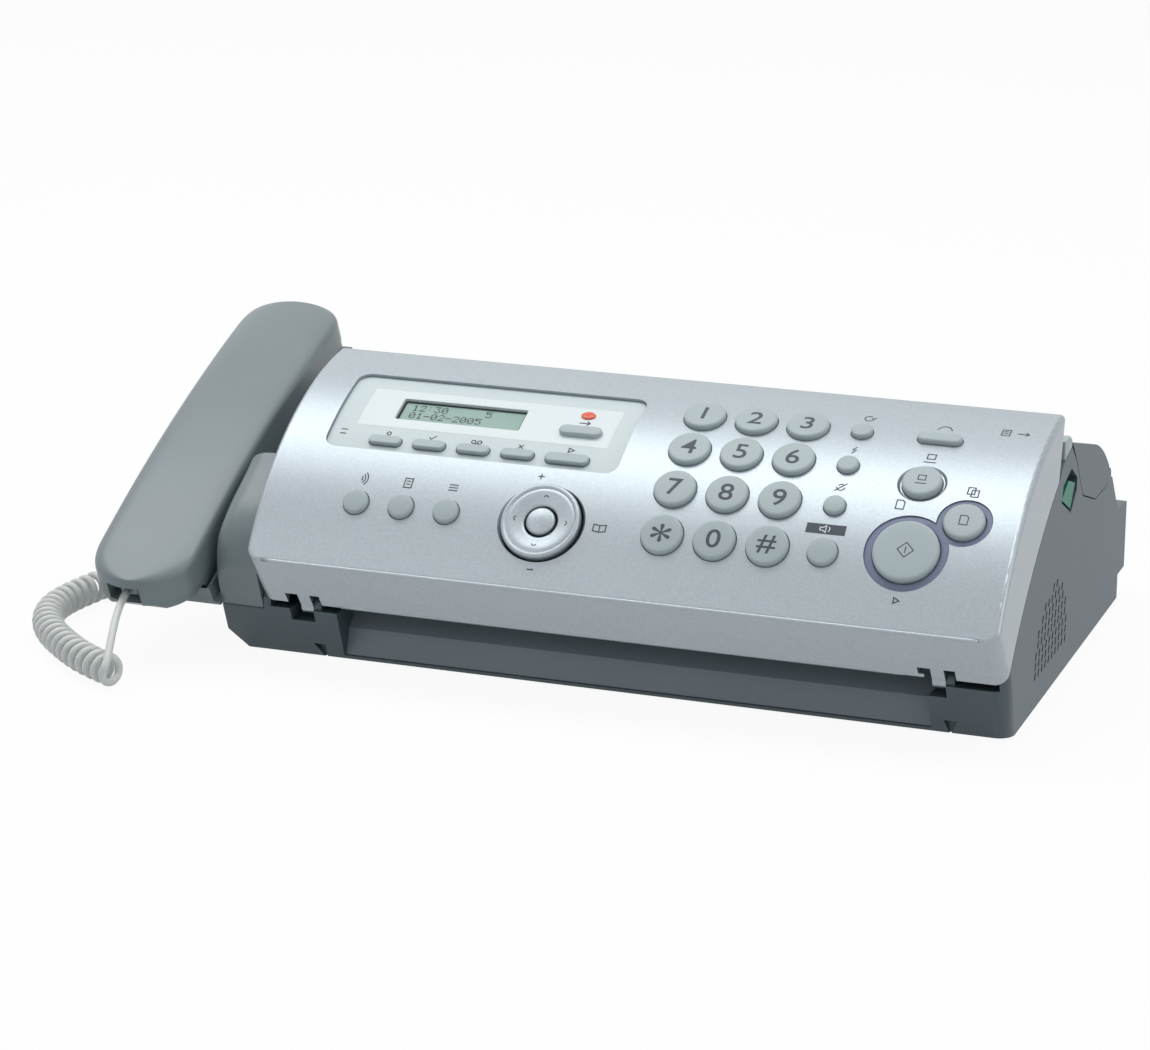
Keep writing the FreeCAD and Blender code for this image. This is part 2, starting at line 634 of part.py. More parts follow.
def display_bezel():
    """The recessed display frame with its window, key slots and a hole for the lamp."""
    spread = (BEZEL_ANGLES[0] - TOOL_SPREAD, BEZEL_ANGLES[1] + TOOL_SPREAD)
    reach = (BEZEL_X[0] - TOOL_SPREAD, BEZEL_X[1] + TOOL_SPREAD)
    plate = panel_layer(BEZEL_DEPTH, BEZEL_DEPTH + BEZEL_THICK, reach, spread).common(bezel_prism(0.0))
    window = on_panel(
        rounded_plate(WINDOW_X[1] - WINDOW_X[0],
                      PANEL_RADIUS * math.radians(WINDOW_ANGLES[1] - WINDOW_ANGLES[0]),
                      WINDOW_CORNER, TOOL_REACH, -TOOL_REACH),
        (WINDOW_X[0] + WINDOW_X[1]) / 2, (WINDOW_ANGLES[0] + WINDOW_ANGLES[1]) / 2)
    cuts = [window, on_panel(disc(2 * (LED_RADIUS + RUN_GAP), TOOL_REACH, -TOOL_REACH), LED_X, LED_ANGLE)]
    for key in KEYS:
        if key["guide"] == BEZEL_DEPTH:
            cuts.append(key_hole(key, TOOL_REACH))
    return plate.cut(cuts)


def lcd_module():
    """The display glass in its holder, close under the window."""
    width = WINDOW_X[1] - WINDOW_X[0] + 2 * LCD_MARGIN
    height = PANEL_RADIUS * math.radians(WINDOW_ANGLES[1] - WINDOW_ANGLES[0]) + 2 * LCD_MARGIN
    top = -BEZEL_DEPTH - BEZEL_THICK - drop(height / 2) - FIT_GAP
    body = block((-width / 2, width / 2), (-height / 2, height / 2), (top - LCD_THICK, top))
    return on_panel(body, (WINDOW_X[0] + WINDOW_X[1]) / 2, (WINDOW_ANGLES[0] + WINDOW_ANGLES[1]) / 2)


def surround_prism(extra):
    """Two overlapping round lobes through the panel."""
    middle = (START_ANGLE + COPY_ANGLE) / 2
    lobes = []
    for x, angle, lobe in ((START_X, START_ANGLE, START_LOBE), (COPY_X, COPY_ANGLE, COPY_LOBE)):
        along = PANEL_RADIUS * math.sin(math.radians(middle - angle))
        plug = disc(lobe + 2 * extra, TOOL_REACH, -TOOL_REACH)
        plug.translate(V(x, along, 0))
        lobes.append(plug)
    return on_panel(lobes[0].fuse(lobes[1]), 0.0, middle)


def start_key_surround():
    """The two-lobed insert round the start and copy keys."""
    reach = (START_X - START_LOBE, COPY_X + COPY_LOBE)
    spread = (COPY_ANGLE - 3 * TOOL_SPREAD, START_ANGLE + 3 * TOOL_SPREAD)
    plate = panel_layer(SURROUND_DEPTH, SURROUND_DEPTH + SURROUND_THICK, reach, spread)
    plate = plate.common(surround_prism(0.0))
    cuts = [key_hole(key, TOOL_REACH) for key in KEYS if key["guide"] == SURROUND_DEPTH]
    return plate.cut(cuts)


def panel_board():
    """The flat circuit board under the keys, with the answering lamp standing on it."""
    board = block(BOARD_X, (BOARD_DOWN, BOARD_UP), (-BOARD_THICK, 0.0))
    board = on_panel(board, 0.0, BOARD_ANGLE, BOARD_DEPTH)
    lamp = on_panel(disc(2 * LED_RADIUS, LED_PROUD - BEZEL_DEPTH, -board_depth(LED_ANGLE) - BOARD_THICK / 2),
                    LED_X, LED_ANGLE)
    return board.fuse(lamp).removeSplitter()


# Base housing

def seam_shift(point):
    """A point of the cover's seam moved down to the housing's own edge."""
    run = (SEAM_REAR[0] - SKIRT_BOTTOM_Y, SEAM_REAR[1] - SKIRT_BOTTOM_Z)
    length = math.hypot(*run)
    return (point[0] + SEAM_GAP * run[1] / length, point[1] - SEAM_GAP * run[0] / length)


def base_profile():
    """Side outline of the housing below the two covers."""
    front_top = seam_shift((SKIRT_BOTTOM_Y + COVER_REST, SKIRT_BOTTOM_Z + COVER_REST))
    return [
        (BASE_FRONT_Y, BASE_BOTTOM_Z),
        (FRONT_WALL_TOP_Y, FRONT_WALL_TOP_Z),
        front_top,
        (seam_shift(SEAM_MID), seam_shift(SEAM_REAR)),
        TRAY_SEAT_FRONT,
        TRAY_SEAT_REAR,
        BACK_SEAM[0],
        BACK_SEAM[1],
        BACK_SEAM[2],
        BACK_SEAM[3],
        REAR_SHOULDER,
        REAR_WAIST,
        (REAR_WAIST[0] + TAIL_STEP, TAIL_TOP_Z),
        (TAIL_Y, TAIL_TOP_Z - TAIL_FALL),
        (TAIL_Y, TAIL_BOTTOM_Z),
        (BASE_REAR_Y, TAIL_BOTTOM_Z),
        (BASE_REAR_Y, BASE_BOTTOM_Z),
    ]


def front_wall_point(z, inset=0.0):
    """A point of the leaning front wall at a height."""
    lean = (FRONT_WALL_TOP_Y - BASE_FRONT_Y) / (FRONT_WALL_TOP_Z - BASE_BOTTOM_Z)
    return (BASE_FRONT_Y + lean * (z - BASE_BOTTOM_Z) + inset, z)


def grille_slots():
    """Slanted slots in rows that fill an arch, cut through the right wall."""
    slots = []
    height = GRILLE_ROWS * GRILLE_ROW_PITCH
    for row in range(GRILLE_ROWS):
        z = GRILLE_LOW_Z + row * GRILLE_ROW_PITCH
        rise = row / (GRILLE_ROWS - 1)
        swell = math.sqrt(1 - rise * rise * GRILLE_ARCH)
        front = GRILLE_TOP_Y + (GRILLE_FRONT_Y - GRILLE_TOP_Y) * swell
        rear = GRILLE_TOP_Y + (GRILLE_REAR_Y - GRILLE_TOP_Y) * swell
        count = int((rear - front) / GRILLE_SLOT_PITCH) + 1
        start = (front + rear - (count - 1) * GRILLE_SLOT_PITCH) / 2
        for place in range(count):
            y = start + place * GRILLE_SLOT_PITCH
            slots.append(extrude_x([
                (y, z),
                (y + GRILLE_SLOT_WIDTH, z),
                (y + GRILLE_SLOT_WIDTH + GRILLE_SLOT_SLANT, z + GRILLE_SLOT_HEIGHT),
                (y + GRILLE_SLOT_SLANT, z + GRILLE_SLOT_HEIGHT),
            ], RIGHT_X - 2 * BASE_WALL, RIGHT_X + OVERCUT))
    print("grille slots", len(slots), "over", round(height, 1), "mm")
    return slots


def base_housing():
    """The tub: floor, front and rear walls, two side walls, the tail and the low box on the left."""
    tub = extrude_x(base_profile(), COVER_LEFT_X, RIGHT_X)
    annex = extrude_x([
        (BASE_FRONT_Y, BASE_BOTTOM_Z),
        front_wall_point(ANNEX_TOP_Z),
        (ANNEX_REAR_Y, ANNEX_TOP_Z),
        (ANNEX_REAR_Y, BASE_BOTTOM_Z),
    ], ANNEX_LEFT_X, COVER_LEFT_X + BASE_WALL)
    wedge = Part.Face(Part.makePolygon([
        V(ANNEX_LEFT_X - OVERCUT, -TAIL_Y, 0),
        V(ANNEX_LEFT_X - OVERCUT, -TAIL_Y, BASE_BOTTOM_Z + LEFT_CHAMFER + OVERCUT),
        V(ANNEX_LEFT_X + LEFT_CHAMFER + OVERCUT, -TAIL_Y, BASE_BOTTOM_Z - OVERCUT),
        V(ANNEX_LEFT_X + LEFT_CHAMFER + OVERCUT, -TAIL_Y, 0), V(ANNEX_LEFT_X - OVERCUT, -TAIL_Y, 0),
    ])).extrude(V(0, 2 * TAIL_Y, 0))
    corner = [e for e in tub.Edges if e.BoundBox.XMin > RIGHT_X - NEAR
              and e.BoundBox.YMax < BASE_FRONT_Y + NEAR
              and e.BoundBox.ZMin < FRONT_WALL_TOP_Z]
    tub = tub.makeFillet(BASE_CORNER, corner[:1])
    body = tub.fuse(annex.cut(wedge)).removeSplitter()
    deep = RAMP_THICK + BASE_WALL
    inner_front_low = (RAMP_FOOT_Y + deep, BASE_BOTTOM_Z + BASE_WALL)
    above = PANEL_RADIUS
    cavity = extrude_x([
        inner_front_low,
        (RAMP_BEND[0] + deep, RAMP_BEND[1]),
        (RAMP_TOP[0] + deep, RAMP_TOP[1]),
        (2 * FRONT_WALL_TOP_Y, FRONT_WALL_TOP_Z),
        (2 * FRONT_WALL_TOP_Y, above),
        (BACK_SEAM[3][0] - BASE_WALL, above),
        (BACK_SEAM[3][0] - BASE_WALL, BACK_SEAM[3][1] - BASE_WALL),
        moved(REAR_WAIST, WAIST_INNER, BASE_WALL),
        (TAIL_Y - BASE_WALL, TAIL_TOP_Z + WAIST_INNER[1] * BASE_WALL),
        (TAIL_Y - BASE_WALL, TAIL_BOTTOM_Z + BASE_WALL),
        (BASE_REAR_Y - BASE_WALL, TAIL_BOTTOM_Z + BASE_WALL),
        (BASE_REAR_Y - BASE_WALL, BASE_BOTTOM_Z + BASE_WALL),
    ], COVER_LEFT_X + BASE_WALL, RIGHT_X - BASE_WALL)
    annex_room = block((ANNEX_LEFT_X + BASE_WALL + LEFT_CHAMFER / 2, COVER_LEFT_X + BASE_WALL),
                       (inner_front_low[0], ANNEX_REAR_Y - BASE_WALL),
                       (BASE_BOTTOM_Z + BASE_WALL + OVERCUT, ANNEX_TOP_Z - BASE_WALL))
    body = body.cut([cavity, annex_room])
    adds = []
    cuts = []
    # Handset jack: a box behind the left wall with a square pocket for the plug
    jack_half = PLUG_SIZE[0] / 2 + JACK_GAP
    jack_high = PLUG_SIZE[1] / 2 + JACK_GAP
    adds.append(block((ANNEX_LEFT_X, ANNEX_LEFT_X + PLUG_LENGTH + BASE_WALL),
                      (BASE_JACK_Y - jack_half - BASE_WALL, BASE_JACK_Y + jack_half + BASE_WALL),
                      (BASE_BOTTOM_Z + LEFT_CHAMFER, ANNEX_TOP_Z - BASE_WALL / 2)))
    cuts.append(block((ANNEX_LEFT_X - OVERCUT, ANNEX_LEFT_X + PLUG_LENGTH - BASE_WALL),
                      (BASE_JACK_Y - jack_half, BASE_JACK_Y + jack_half),
                      (BASE_JACK_Z - jack_high, BASE_JACK_Z + jack_high)))
    # Brackets that hold the front cover's hinge pins, and room in the front wall for the arms
    for arm_x in HINGE_ARMS_X:
        left = arm_x + HINGE_ARM_WIDTH / 2 + RUN_GAP
        right = left + HINGE_BRACKET_WIDTH
        eye = rod_x((FRONT_HINGE_Y, FRONT_HINGE_Z), HINGE_ARM_RADIUS, left, right)
        post = extrude_x([
            (FRONT_HINGE_Y - HINGE_ARM_RADIUS, FRONT_HINGE_Z),
            (FRONT_HINGE_Y + HINGE_ARM_RADIUS, FRONT_HINGE_Z),
            (FRONT_HINGE_Y + 4 * HINGE_ARM_RADIUS, BASE_BOTTOM_Z + BASE_WALL / 2),
            front_wall_point(BASE_BOTTOM_Z + BASE_WALL / 2, BASE_WALL / 2),
        ], left, right)
        adds += [eye, post]
        cuts.append(rod_x((FRONT_HINGE_Y, FRONT_HINGE_Z), HINGE_PIN_RADIUS + SHAFT_GAP,
                          left - OVERCUT, right + OVERCUT))
        cuts.append(block((arm_x - NOTCH_WIDTH / 2, left),
                          (2 * FRONT_WALL_TOP_Y, FRONT_HINGE_Y + HINGE_ARM_RADIUS + BASE_WALL),
                          (WALL_NOTCH_Z, FRONT_WALL_TOP_Z + BASE_WALL)))
    # Back cover hinge: a trough with a knuckle at each end
    hinge = (BACK_HINGE_Y, BACK_HINGE_Z)
    cuts.append(rod_x(hinge, BACK_BARREL_RADIUS + RUN_GAP, COVER_LEFT_X + BACK_KNUCKLE_LENGTH,
                      RIGHT_X - BACK_KNUCKLE_LENGTH))
    ends = ((COVER_LEFT_X, COVER_LEFT_X + BACK_KNUCKLE_LENGTH), (RIGHT_X - BACK_KNUCKLE_LENGTH, RIGHT_X))
    for x_from, x_to in ends:
        adds.append(rod_x(hinge, BACK_BARREL_RADIUS, x_from, x_to))
        cuts.append(rod_x(hinge, BACK_PIN_RADIUS + SHAFT_GAP, x_from + BASE_WALL, x_to - BASE_WALL))
        inner = x_to if x_from == COVER_LEFT_X else x_from
        cuts.append(rod_x(hinge, BACK_PIN_RADIUS + SHAFT_GAP, inner - 2 * BASE_WALL, inner + 2 * BASE_WALL))
    # Bearings for the rollers and cores
    for axis in (PLATEN_AXIS, FEED_AXIS, SUPPLY_AXIS, TAKE_UP_AXIS):
        cuts.append(rod_x(axis, SHAFT_RADIUS + SHAFT_GAP, COVER_LEFT_X + BASE_WALL - SHAFT_SEAT,
                          COVER_LEFT_X + BASE_WALL + OVERCUT))
        cuts.append(rod_x(axis, SHAFT_RADIUS + SHAFT_GAP, RIGHT_X - BASE_WALL - OVERCUT,
                          RIGHT_X - BASE_WALL + SHAFT_SEAT))
    # Release lever pocket
    adds.append(extrude_x(list(LEVER_BLOCK), RIGHT_X - BASE_WALL - LEVER_THICK - LEVER_PIN_LENGTH,
                          RIGHT_X - BASE_WALL))
    floor_x = RIGHT_X - LEVER_THICK - 2 * RUN_GAP
    cuts.append(extrude_x(list(LEVER_POCKET), floor_x, RIGHT_X + OVERCUT))
    cuts.append(rod_x(LEVER_PIVOT, LEVER_PIN_RADIUS + SHAFT_GAP, floor_x - LEVER_PIN_LENGTH,
                      floor_x + OVERCUT))
    # Posts for the main board
    for x in (MAIN_BOARD_X[0] + BOARD_POST_INSET, MAIN_BOARD_X[1] - BOARD_POST_INSET):
        for y in (MAIN_BOARD_Y[0] + BOARD_POST_INSET, MAIN_BOARD_Y[1] - BOARD_POST_INSET):
            adds.append(Part.makeCylinder(BOSS_RADIUS, MAIN_BOARD_Z - BASE_BOTTOM_Z - BASE_WALL / 2,
                                          V(x, y, BASE_BOTTOM_Z + BASE_WALL / 2)))
    # Recess for the exit ramp, the paper inlet and the wedge notches
    cuts.append(ramp_room())
    cuts.append(block(INLET_X, INLET_Y, (BACK_HINGE_Z / 2, BACK_HINGE_Z)))
    for left, right, tip in WEDGE_NOTCHES:
        corners = [V(left, 2 * BASE_FRONT_Y, WEDGE_HEIGHT), V(right, 2 * BASE_FRONT_Y, WEDGE_HEIGHT),
                   V(tip, 2 * BASE_FRONT_Y, 0), V(left, 2 * BASE_FRONT_Y, WEDGE_HEIGHT)]
        wedge = Part.Face(Part.makePolygon(corners))
        cuts.append(wedge.extrude(V(0, -BASE_FRONT_Y + WEDGE_DEPTH - BASE_WALL, 0)))
    # Pockets for the rubber feet
    for x in FEET_X:
        for y in FEET_Y:
            cuts.append(Part.makeCylinder(FOOT_RADIUS + FIT_GAP, FOOT_HEIGHT, V(x, y, 0)))
    cuts += grille_slots()
    return body.fuse(adds).cut(cuts).removeSplitter()


def ramp_line(back):
    """The ramp's face in the side view, or a line that far behind it."""
    return [(RAMP_FOOT_Y + back, BASE_BOTTOM_Z + RAMP_LIP), (RAMP_BEND[0] + back, RAMP_BEND[1]),
            (RAMP_TOP[0] + back, RAMP_TOP[1])]


def ramp_room():
    """The space in the front wall that the ramp and the paper over it take up."""
    foot, bend, top = ramp_line(RAMP_THICK)
    ahead = 2 * FRONT_WALL_TOP_Y
    return extrude_x([
        (ahead, foot[1] - FIT_GAP),
        (foot[0], foot[1] - FIT_GAP),
        bend,
        top,
        (top[0], top[1] + OVERCUT),
        (ahead, top[1] + OVERCUT),
    ], RAMP_X[0] - FIT_GAP, RAMP_X[1] + FIT_GAP)


def paper_exit_ramp():
    """The dark bent plate that paper slides out over."""
    face = ramp_line(0.0)
    rear = ramp_line(RAMP_THICK)
    return extrude_x(face + rear[::-1], RAMP_X[0], RAMP_X[1])


def rubber_feet():
    """Four round feet in pockets of the floor."""
    feet = []
    for x in FEET_X:
        for y in FEET_Y:
            feet.append(Part.makeCylinder(FOOT_RADIUS, FOOT_HEIGHT, V(x, y, 0)))
    return Part.makeCompound(feet)


# Back cover

def back_cover():
    """The rear cover: a curved shell with side walls and a hinge barrel along its rear edge."""
    lift = SEAM_GAP * math.sqrt(0.5)
    seam = [(y + lift, z + lift) for y, z in BACK_SEAM]
    hinge = (BACK_HINGE_Y, BACK_HINGE_Z)
    rear = (BACK_HINGE_Y + BACK_BARREL_RADIUS, BACK_HINGE_Z)
    outer = [
        BACK_FRONT_TOP,
        BACK_BEND,
        (BACK_ROUND_MID, rear),
        (BACK_HINGE_Y, seam[3][1] + SEAM_GAP),
        seam[3],
        seam[2],
        seam[1],
        seam[0],
    ]
    body = extrude_x(outer, COVER_LEFT_X, RIGHT_X)
    wall = COVER_WALL
    inner = [
        moved(BACK_FRONT_TOP, BACK_INNER_FRONT, wall),
        moved(BACK_BEND, BACK_INNER_BEND, wall),
        (moved(BACK_ROUND_MID, BACK_INNER_ROUND, wall),
         (BACK_HINGE_Y - BACK_BARREL_RADIUS, BACK_HINGE_Z + BACK_BARREL_RADIUS)),
        (BACK_HINGE_Y - 2 * BACK_BARREL_RADIUS, BACK_SEAM[3][1] - wall),
        (BACK_SEAM[2][0], BACK_SEAM[2][1] - wall),
        (BACK_SEAM[1][0] - wall, BACK_SEAM[1][1] - wall),
    ]
    body = body.cut(extrude_x(inner, COVER_LEFT_X + wall, RIGHT_X - wall))
    clear = BACK_BARREL_RADIUS + RUN_GAP
    for x_from, x_to in ((COVER_LEFT_X - OVERCUT, COVER_LEFT_X + BACK_KNUCKLE_LENGTH + RUN_GAP),
                         (RIGHT_X - BACK_KNUCKLE_LENGTH - RUN_GAP, RIGHT_X + OVERCUT)):
        body = body.cut(rod_x(hinge, clear, x_from, x_to))
    inside = (COVER_LEFT_X + BACK_KNUCKLE_LENGTH + RUN_GAP, RIGHT_X - BACK_KNUCKLE_LENGTH - RUN_GAP)
    barrel = rod_x(hinge, BACK_BARREL_RADIUS, *inside)
    pins = [rod_x(hinge, BACK_PIN_RADIUS, inside[0] - BASE_WALL, inside[0]),
            rod_x(hinge, BACK_PIN_RADIUS, inside[1], inside[1] + BASE_WALL)]
    return body.fuse([barrel] + pins).removeSplitter()


# Document tray and guides

def document_tray():
    """The sill that documents lie on as they go in, with a slot for the two guides."""
    sill = extrude_x([
        TRAY_SEAT_FRONT,
        (TRAY_SEAT_FRONT[0], TRAY_TOP_Z),
        (TRAY_CREST_Y, TRAY_TOP_Z),
        (TRAY_SEAT_REAR[0], TRAY_REAR_Z),
        TRAY_SEAT_REAR,
    ], COVER_LEFT_X, RIGHT_X)
    middle = (COVER_LEFT_X + RIGHT_X) / 2
    reach = DOCUMENT_WIDTH / 2 + GUIDE_LENGTH + GUIDE_SLOT_END
    slot = block((middle - reach, middle + reach), GUIDE_SLOT,
                 (TRAY_TOP_Z - GUIDE_SLOT_DEPTH, TRAY_TOP_Z + OVERCUT))
    return sill.cut(slot)


def document_guide(side):
    """A sliding guide with a foot in the tray's slot and an upright fence; side is -1 or 1."""
    middle = (COVER_LEFT_X + RIGHT_X) / 2
    fence = middle + side * DOCUMENT_WIDTH / 2
    outer = fence + side * GUIDE_LENGTH
    span = (min(fence, outer), max(fence, outer))
    low = TRAY_TOP_Z + RUN_GAP
    depth = (TRAY_SEAT_FRONT[0] + GUIDE_SETBACK, TRAY_CREST_Y)
    plate = block(span, depth, (low, low + GUIDE_PLATE))
    wall_end = fence + side * GUIDE_PLATE
    wall = block((min(fence, wall_end), max(fence, wall_end)), depth, (low, low + GUIDE_HEIGHT))
    foot = block((span[0] + GUIDE_FOOT_INSET, span[1] - GUIDE_FOOT_INSET),
                 (GUIDE_SLOT[0] + RUN_GAP, GUIDE_SLOT[1] - RUN_GAP),
                 (TRAY_TOP_Z - GUIDE_SLOT_DEPTH + RUN_GAP, low))
    return plate.fuse([wall, foot]).removeSplitter()


# Release lever

def release_lever():
    """A tab that turns on a pin in the floor of its pocket."""
    floor_x = RIGHT_X - LEVER_THICK - 2 * RUN_GAP
    tab = extrude_x(list(LEVER_OUTLINE), floor_x + RUN_GAP, floor_x + RUN_GAP + LEVER_THICK)
    pin = rod_x(LEVER_PIVOT, LEVER_PIN_RADIUS, floor_x - LEVER_PIN_LENGTH + RUN_GAP, floor_x + RUN_GAP)
    return tab.fuse(pin).removeSplitter()


# Works inside the tub

def roller(axis, radius):
    """A roller on a shaft whose ends sit in the side walls."""
    tip = SHAFT_SEAT - RUN_GAP
    shaft = rod_x(axis, SHAFT_RADIUS, COVER_LEFT_X + BASE_WALL - tip, RIGHT_X - BASE_WALL + tip)
    return shaft.fuse(rod_x(axis, radius, *ROLLER_X)).removeSplitter()


def cross_bar(steps):
    """A bar that spans the tub from wall to wall."""
    return extrude_x(steps, COVER_LEFT_X + BASE_WALL, RIGHT_X - BASE_WALL)


def thermal_head():
    """The print head bar under the platen, with a ridge at its heating line."""
    width, height = HEAD_BAR
    y = PLATEN_AXIS[0]
    top = PLATEN_AXIS[1] - PLATEN_RADIUS - RUN_GAP
    return cross_bar([
        (y - width / 2, top - height),
        (y - width / 2, top - HEAD_RIDGE),
        (y - HEAD_RIDGE, top),
        (y + HEAD_RIDGE, top),
        (y + width / 2, top - HEAD_RIDGE),
        (y + width / 2, top - height),
    ])


def image_sensor():
    """The contact scanner bar in front of the document roller."""
    width, height = SENSOR_BAR
    y, z = SENSOR_CORNER
    return cross_bar([(y, z), (y, z + height), (y + width - SENSOR_BEVEL, z + height),
                      (y + width, z + height - SENSOR_BEVEL), (y + width, z)])


def main_board():
    """The main circuit board with its transformer, capacitors, heat sink and processor."""
    board = block(MAIN_BOARD_X, MAIN_BOARD_Y, (MAIN_BOARD_Z, MAIN_BOARD_Z + MAIN_BOARD_THICK))
    top = MAIN_BOARD_Z + MAIN_BOARD_THICK
    things = [block(x, y, (top, top + height))
              for x, y, height in (TRANSFORMER, PROCESSOR, HEAT_SINK, MODEM_CHIP)]
    for x, y in CAPACITORS:
        things.append(Part.makeCylinder(CAPACITOR_RADIUS, CAPACITOR_HEIGHT, V(x, y, top)))
    return board.fuse(things).removeSplitter()


def drive_motor():
    """The stepping motor on the left wall with its flange and pinion shaft end."""
    wall_x = COVER_LEFT_X + BASE_WALL
    can = rod_x(MOTOR_AXIS, MOTOR_RADIUS, wall_x + MOTOR_FLANGE, wall_x + MOTOR_LENGTH)
    y, z = MOTOR_AXIS
    ear = MOTOR_RADIUS + MOTOR_EAR
    flange = block((wall_x, wall_x + MOTOR_FLANGE), (y - ear, y + ear),
                   (z - MOTOR_EAR_HALF, z + MOTOR_EAR_HALF))
    plate = rod_x(MOTOR_AXIS, MOTOR_RADIUS, wall_x, wall_x + MOTOR_FLANGE)
    return can.fuse([flange, plate]).removeSplitter()


def speaker():
    """The loudspeaker behind the grille: a rimmed basket and its magnet."""
    wall_x = RIGHT_X - BASE_WALL
    rim = rod_x(SPEAKER_AXIS, SPEAKER_RADIUS, wall_x - SPEAKER_RIM, wall_x)
    magnet = rod_x(SPEAKER_AXIS, SPEAKER_MAGNET, wall_x - SPEAKER_LENGTH, wall_x - SPEAKER_RIM)
    return rim.fuse(magnet).removeSplitter()


# Handset, in its own frame and then laid in the cradle

HANDSET_PLACE = FreeCAD.Placement(V(HANDSET_X, HANDSET_FOOT_Y, HANDSET_FOOT_Z),
                                  FreeCAD.Rotation(V(1, 0, 0), HANDSET_TILT))


def in_cradle(shape):
    """A shape from the handset's frame, moved to where the handset lies."""
    copy = shape.copy()
    copy.Placement = HANDSET_PLACE.multiply(shape.Placement)
    return copy


def handset_plan(inset, top, bottom):
    """The handset's rounded plan outline as a prism."""
    half = HANDSET_WIDTH / 2 - inset
    prism = Part.makeBox(2 * half, HANDSET_LENGTH - 2 * inset, top - bottom, V(-half, inset, bottom))
    upright = [e for e in prism.Edges if abs(e.BoundBox.ZLength - (top - bottom)) < 1e-6]
    foot = [e for e in upright if e.BoundBox.YMin < HANDSET_LENGTH / 2]
    head = [e for e in upright if e.BoundBox.YMin > HANDSET_LENGTH / 2]
    return prism.makeFillet(FOOT_ROUND - inset, foot).makeFillet(HEAD_ROUND - inset, head)


def handset_outer_shell():
    """The outer shell: a crowned section turned about a far axis, so that it is bowed along its length."""
    half_length = HANDSET_LENGTH / 2
    bow_radius = (half_length * half_length + HANDSET_BOW * HANDSET_BOW) / (2 * HANDSET_BOW)
    axis_z = HANDSET_BOW - bow_radius
    half = HANDSET_WIDTH / 2
    edge = HANDSET_EDGE
    lift = HANDSET_BOW
    low = -HANDSET_SIDE - OVERCUT
    points = {
        "low_left": V(-half, 0, low), "low_right": V(half, 0, low),
        "right": V(half, 0, lift - edge),
        "right_mid": V(half - EDGE_BULGE * edge, 0, lift - EDGE_BULGE * edge + EDGE_RISE),
        "right_top": V(half - edge, 0, lift + CROWN_START * HANDSET_CROWN),
        "top": V(0, 0, lift + HANDSET_CROWN),
        "left_top": V(-half + edge, 0, lift + CROWN_START * HANDSET_CROWN),
        "left_mid": V(-half + EDGE_BULGE * edge, 0, lift - EDGE_BULGE * edge + EDGE_RISE),
        "left": V(-half, 0, lift - edge),
    }
    section = Part.Wire([
        Part.LineSegment(points["low_left"], points["low_right"]).toShape(),
        Part.LineSegment(points["low_right"], points["right"]).toShape(),
        Part.Arc(points["right"], points["right_mid"], points["right_top"]).toShape(),
        Part.Arc(points["right_top"], points["top"], points["left_top"]).toShape(),
        Part.Arc(points["left_top"], points["left_mid"], points["left"]).toShape(),
        Part.LineSegment(points["left"], points["low_left"]).toShape(),
    ])
    sweep = math.degrees(2 * math.asin(half_length / bow_radius)) + TOOL_SPREAD
    face = Part.Face(section)
    face.translate(V(0, half_length, 0))
    face.rotate(V(0, half_length, axis_z), V(1, 0, 0), -sweep / 2)
    bowed = face.revolve(V(0, half_length, axis_z), V(1, 0, 0), sweep)
    shell = bowed.common(handset_plan(0.0, 2 * HANDSET_BOW + HANDSET_CROWN, -HANDSET_SIDE))
    return in_cradle(shell.cut(jack_opening()))


def jack_opening():
    """The opening in the foot of the handset that the plug goes into."""
    wide, high = JACK_OPENING
    return block((HANDSET_JACK_SIDE - wide / 2, HANDSET_JACK_SIDE + wide / 2),
                 (-OVERCUT, JACK_OPENING_LENGTH),
                 (HANDSET_JACK_DEPTH - high / 2, HANDSET_JACK_DEPTH + high / 2))


def handset_inner_shell():
    """The inner shell: a grip with a mouth cap and an ear cap that drop into the cradle."""
    steps = [
        (INNER_INSET, -HANDSET_SIDE),
        (INNER_INSET + INNER_TOE, -GRIP_DEPTH + INNER_TOE_RISE),
        (MOUTH_SPAN[0] - CAP_SLOPE, -GRIP_DEPTH),
        (MOUTH_SPAN[0], -MOUTH_DEPTH),
        (MOUTH_SPAN[1], -MOUTH_DEPTH),
        (MOUTH_SPAN[1] + CAP_SLOPE, -GRIP_DEPTH),
        (EAR_SPAN[0] - CAP_SLOPE, -GRIP_DEPTH),
        (EAR_SPAN[0], -EAR_DEPTH),
        (EAR_SPAN[1], -EAR_DEPTH),
        (HANDSET_LENGTH - INNER_INSET, -HANDSET_SIDE - INNER_TOE),
        (HANDSET_LENGTH - INNER_INSET, -HANDSET_SIDE),
    ]
    body = extrude_x(steps, -HANDSET_WIDTH / 2, HANDSET_WIDTH / 2)
    body = body.common(handset_plan(INNER_INSET, -HANDSET_SIDE, -EAR_DEPTH - OVERCUT))
    return in_cradle(body.cut(jack_opening()))


# Cradle

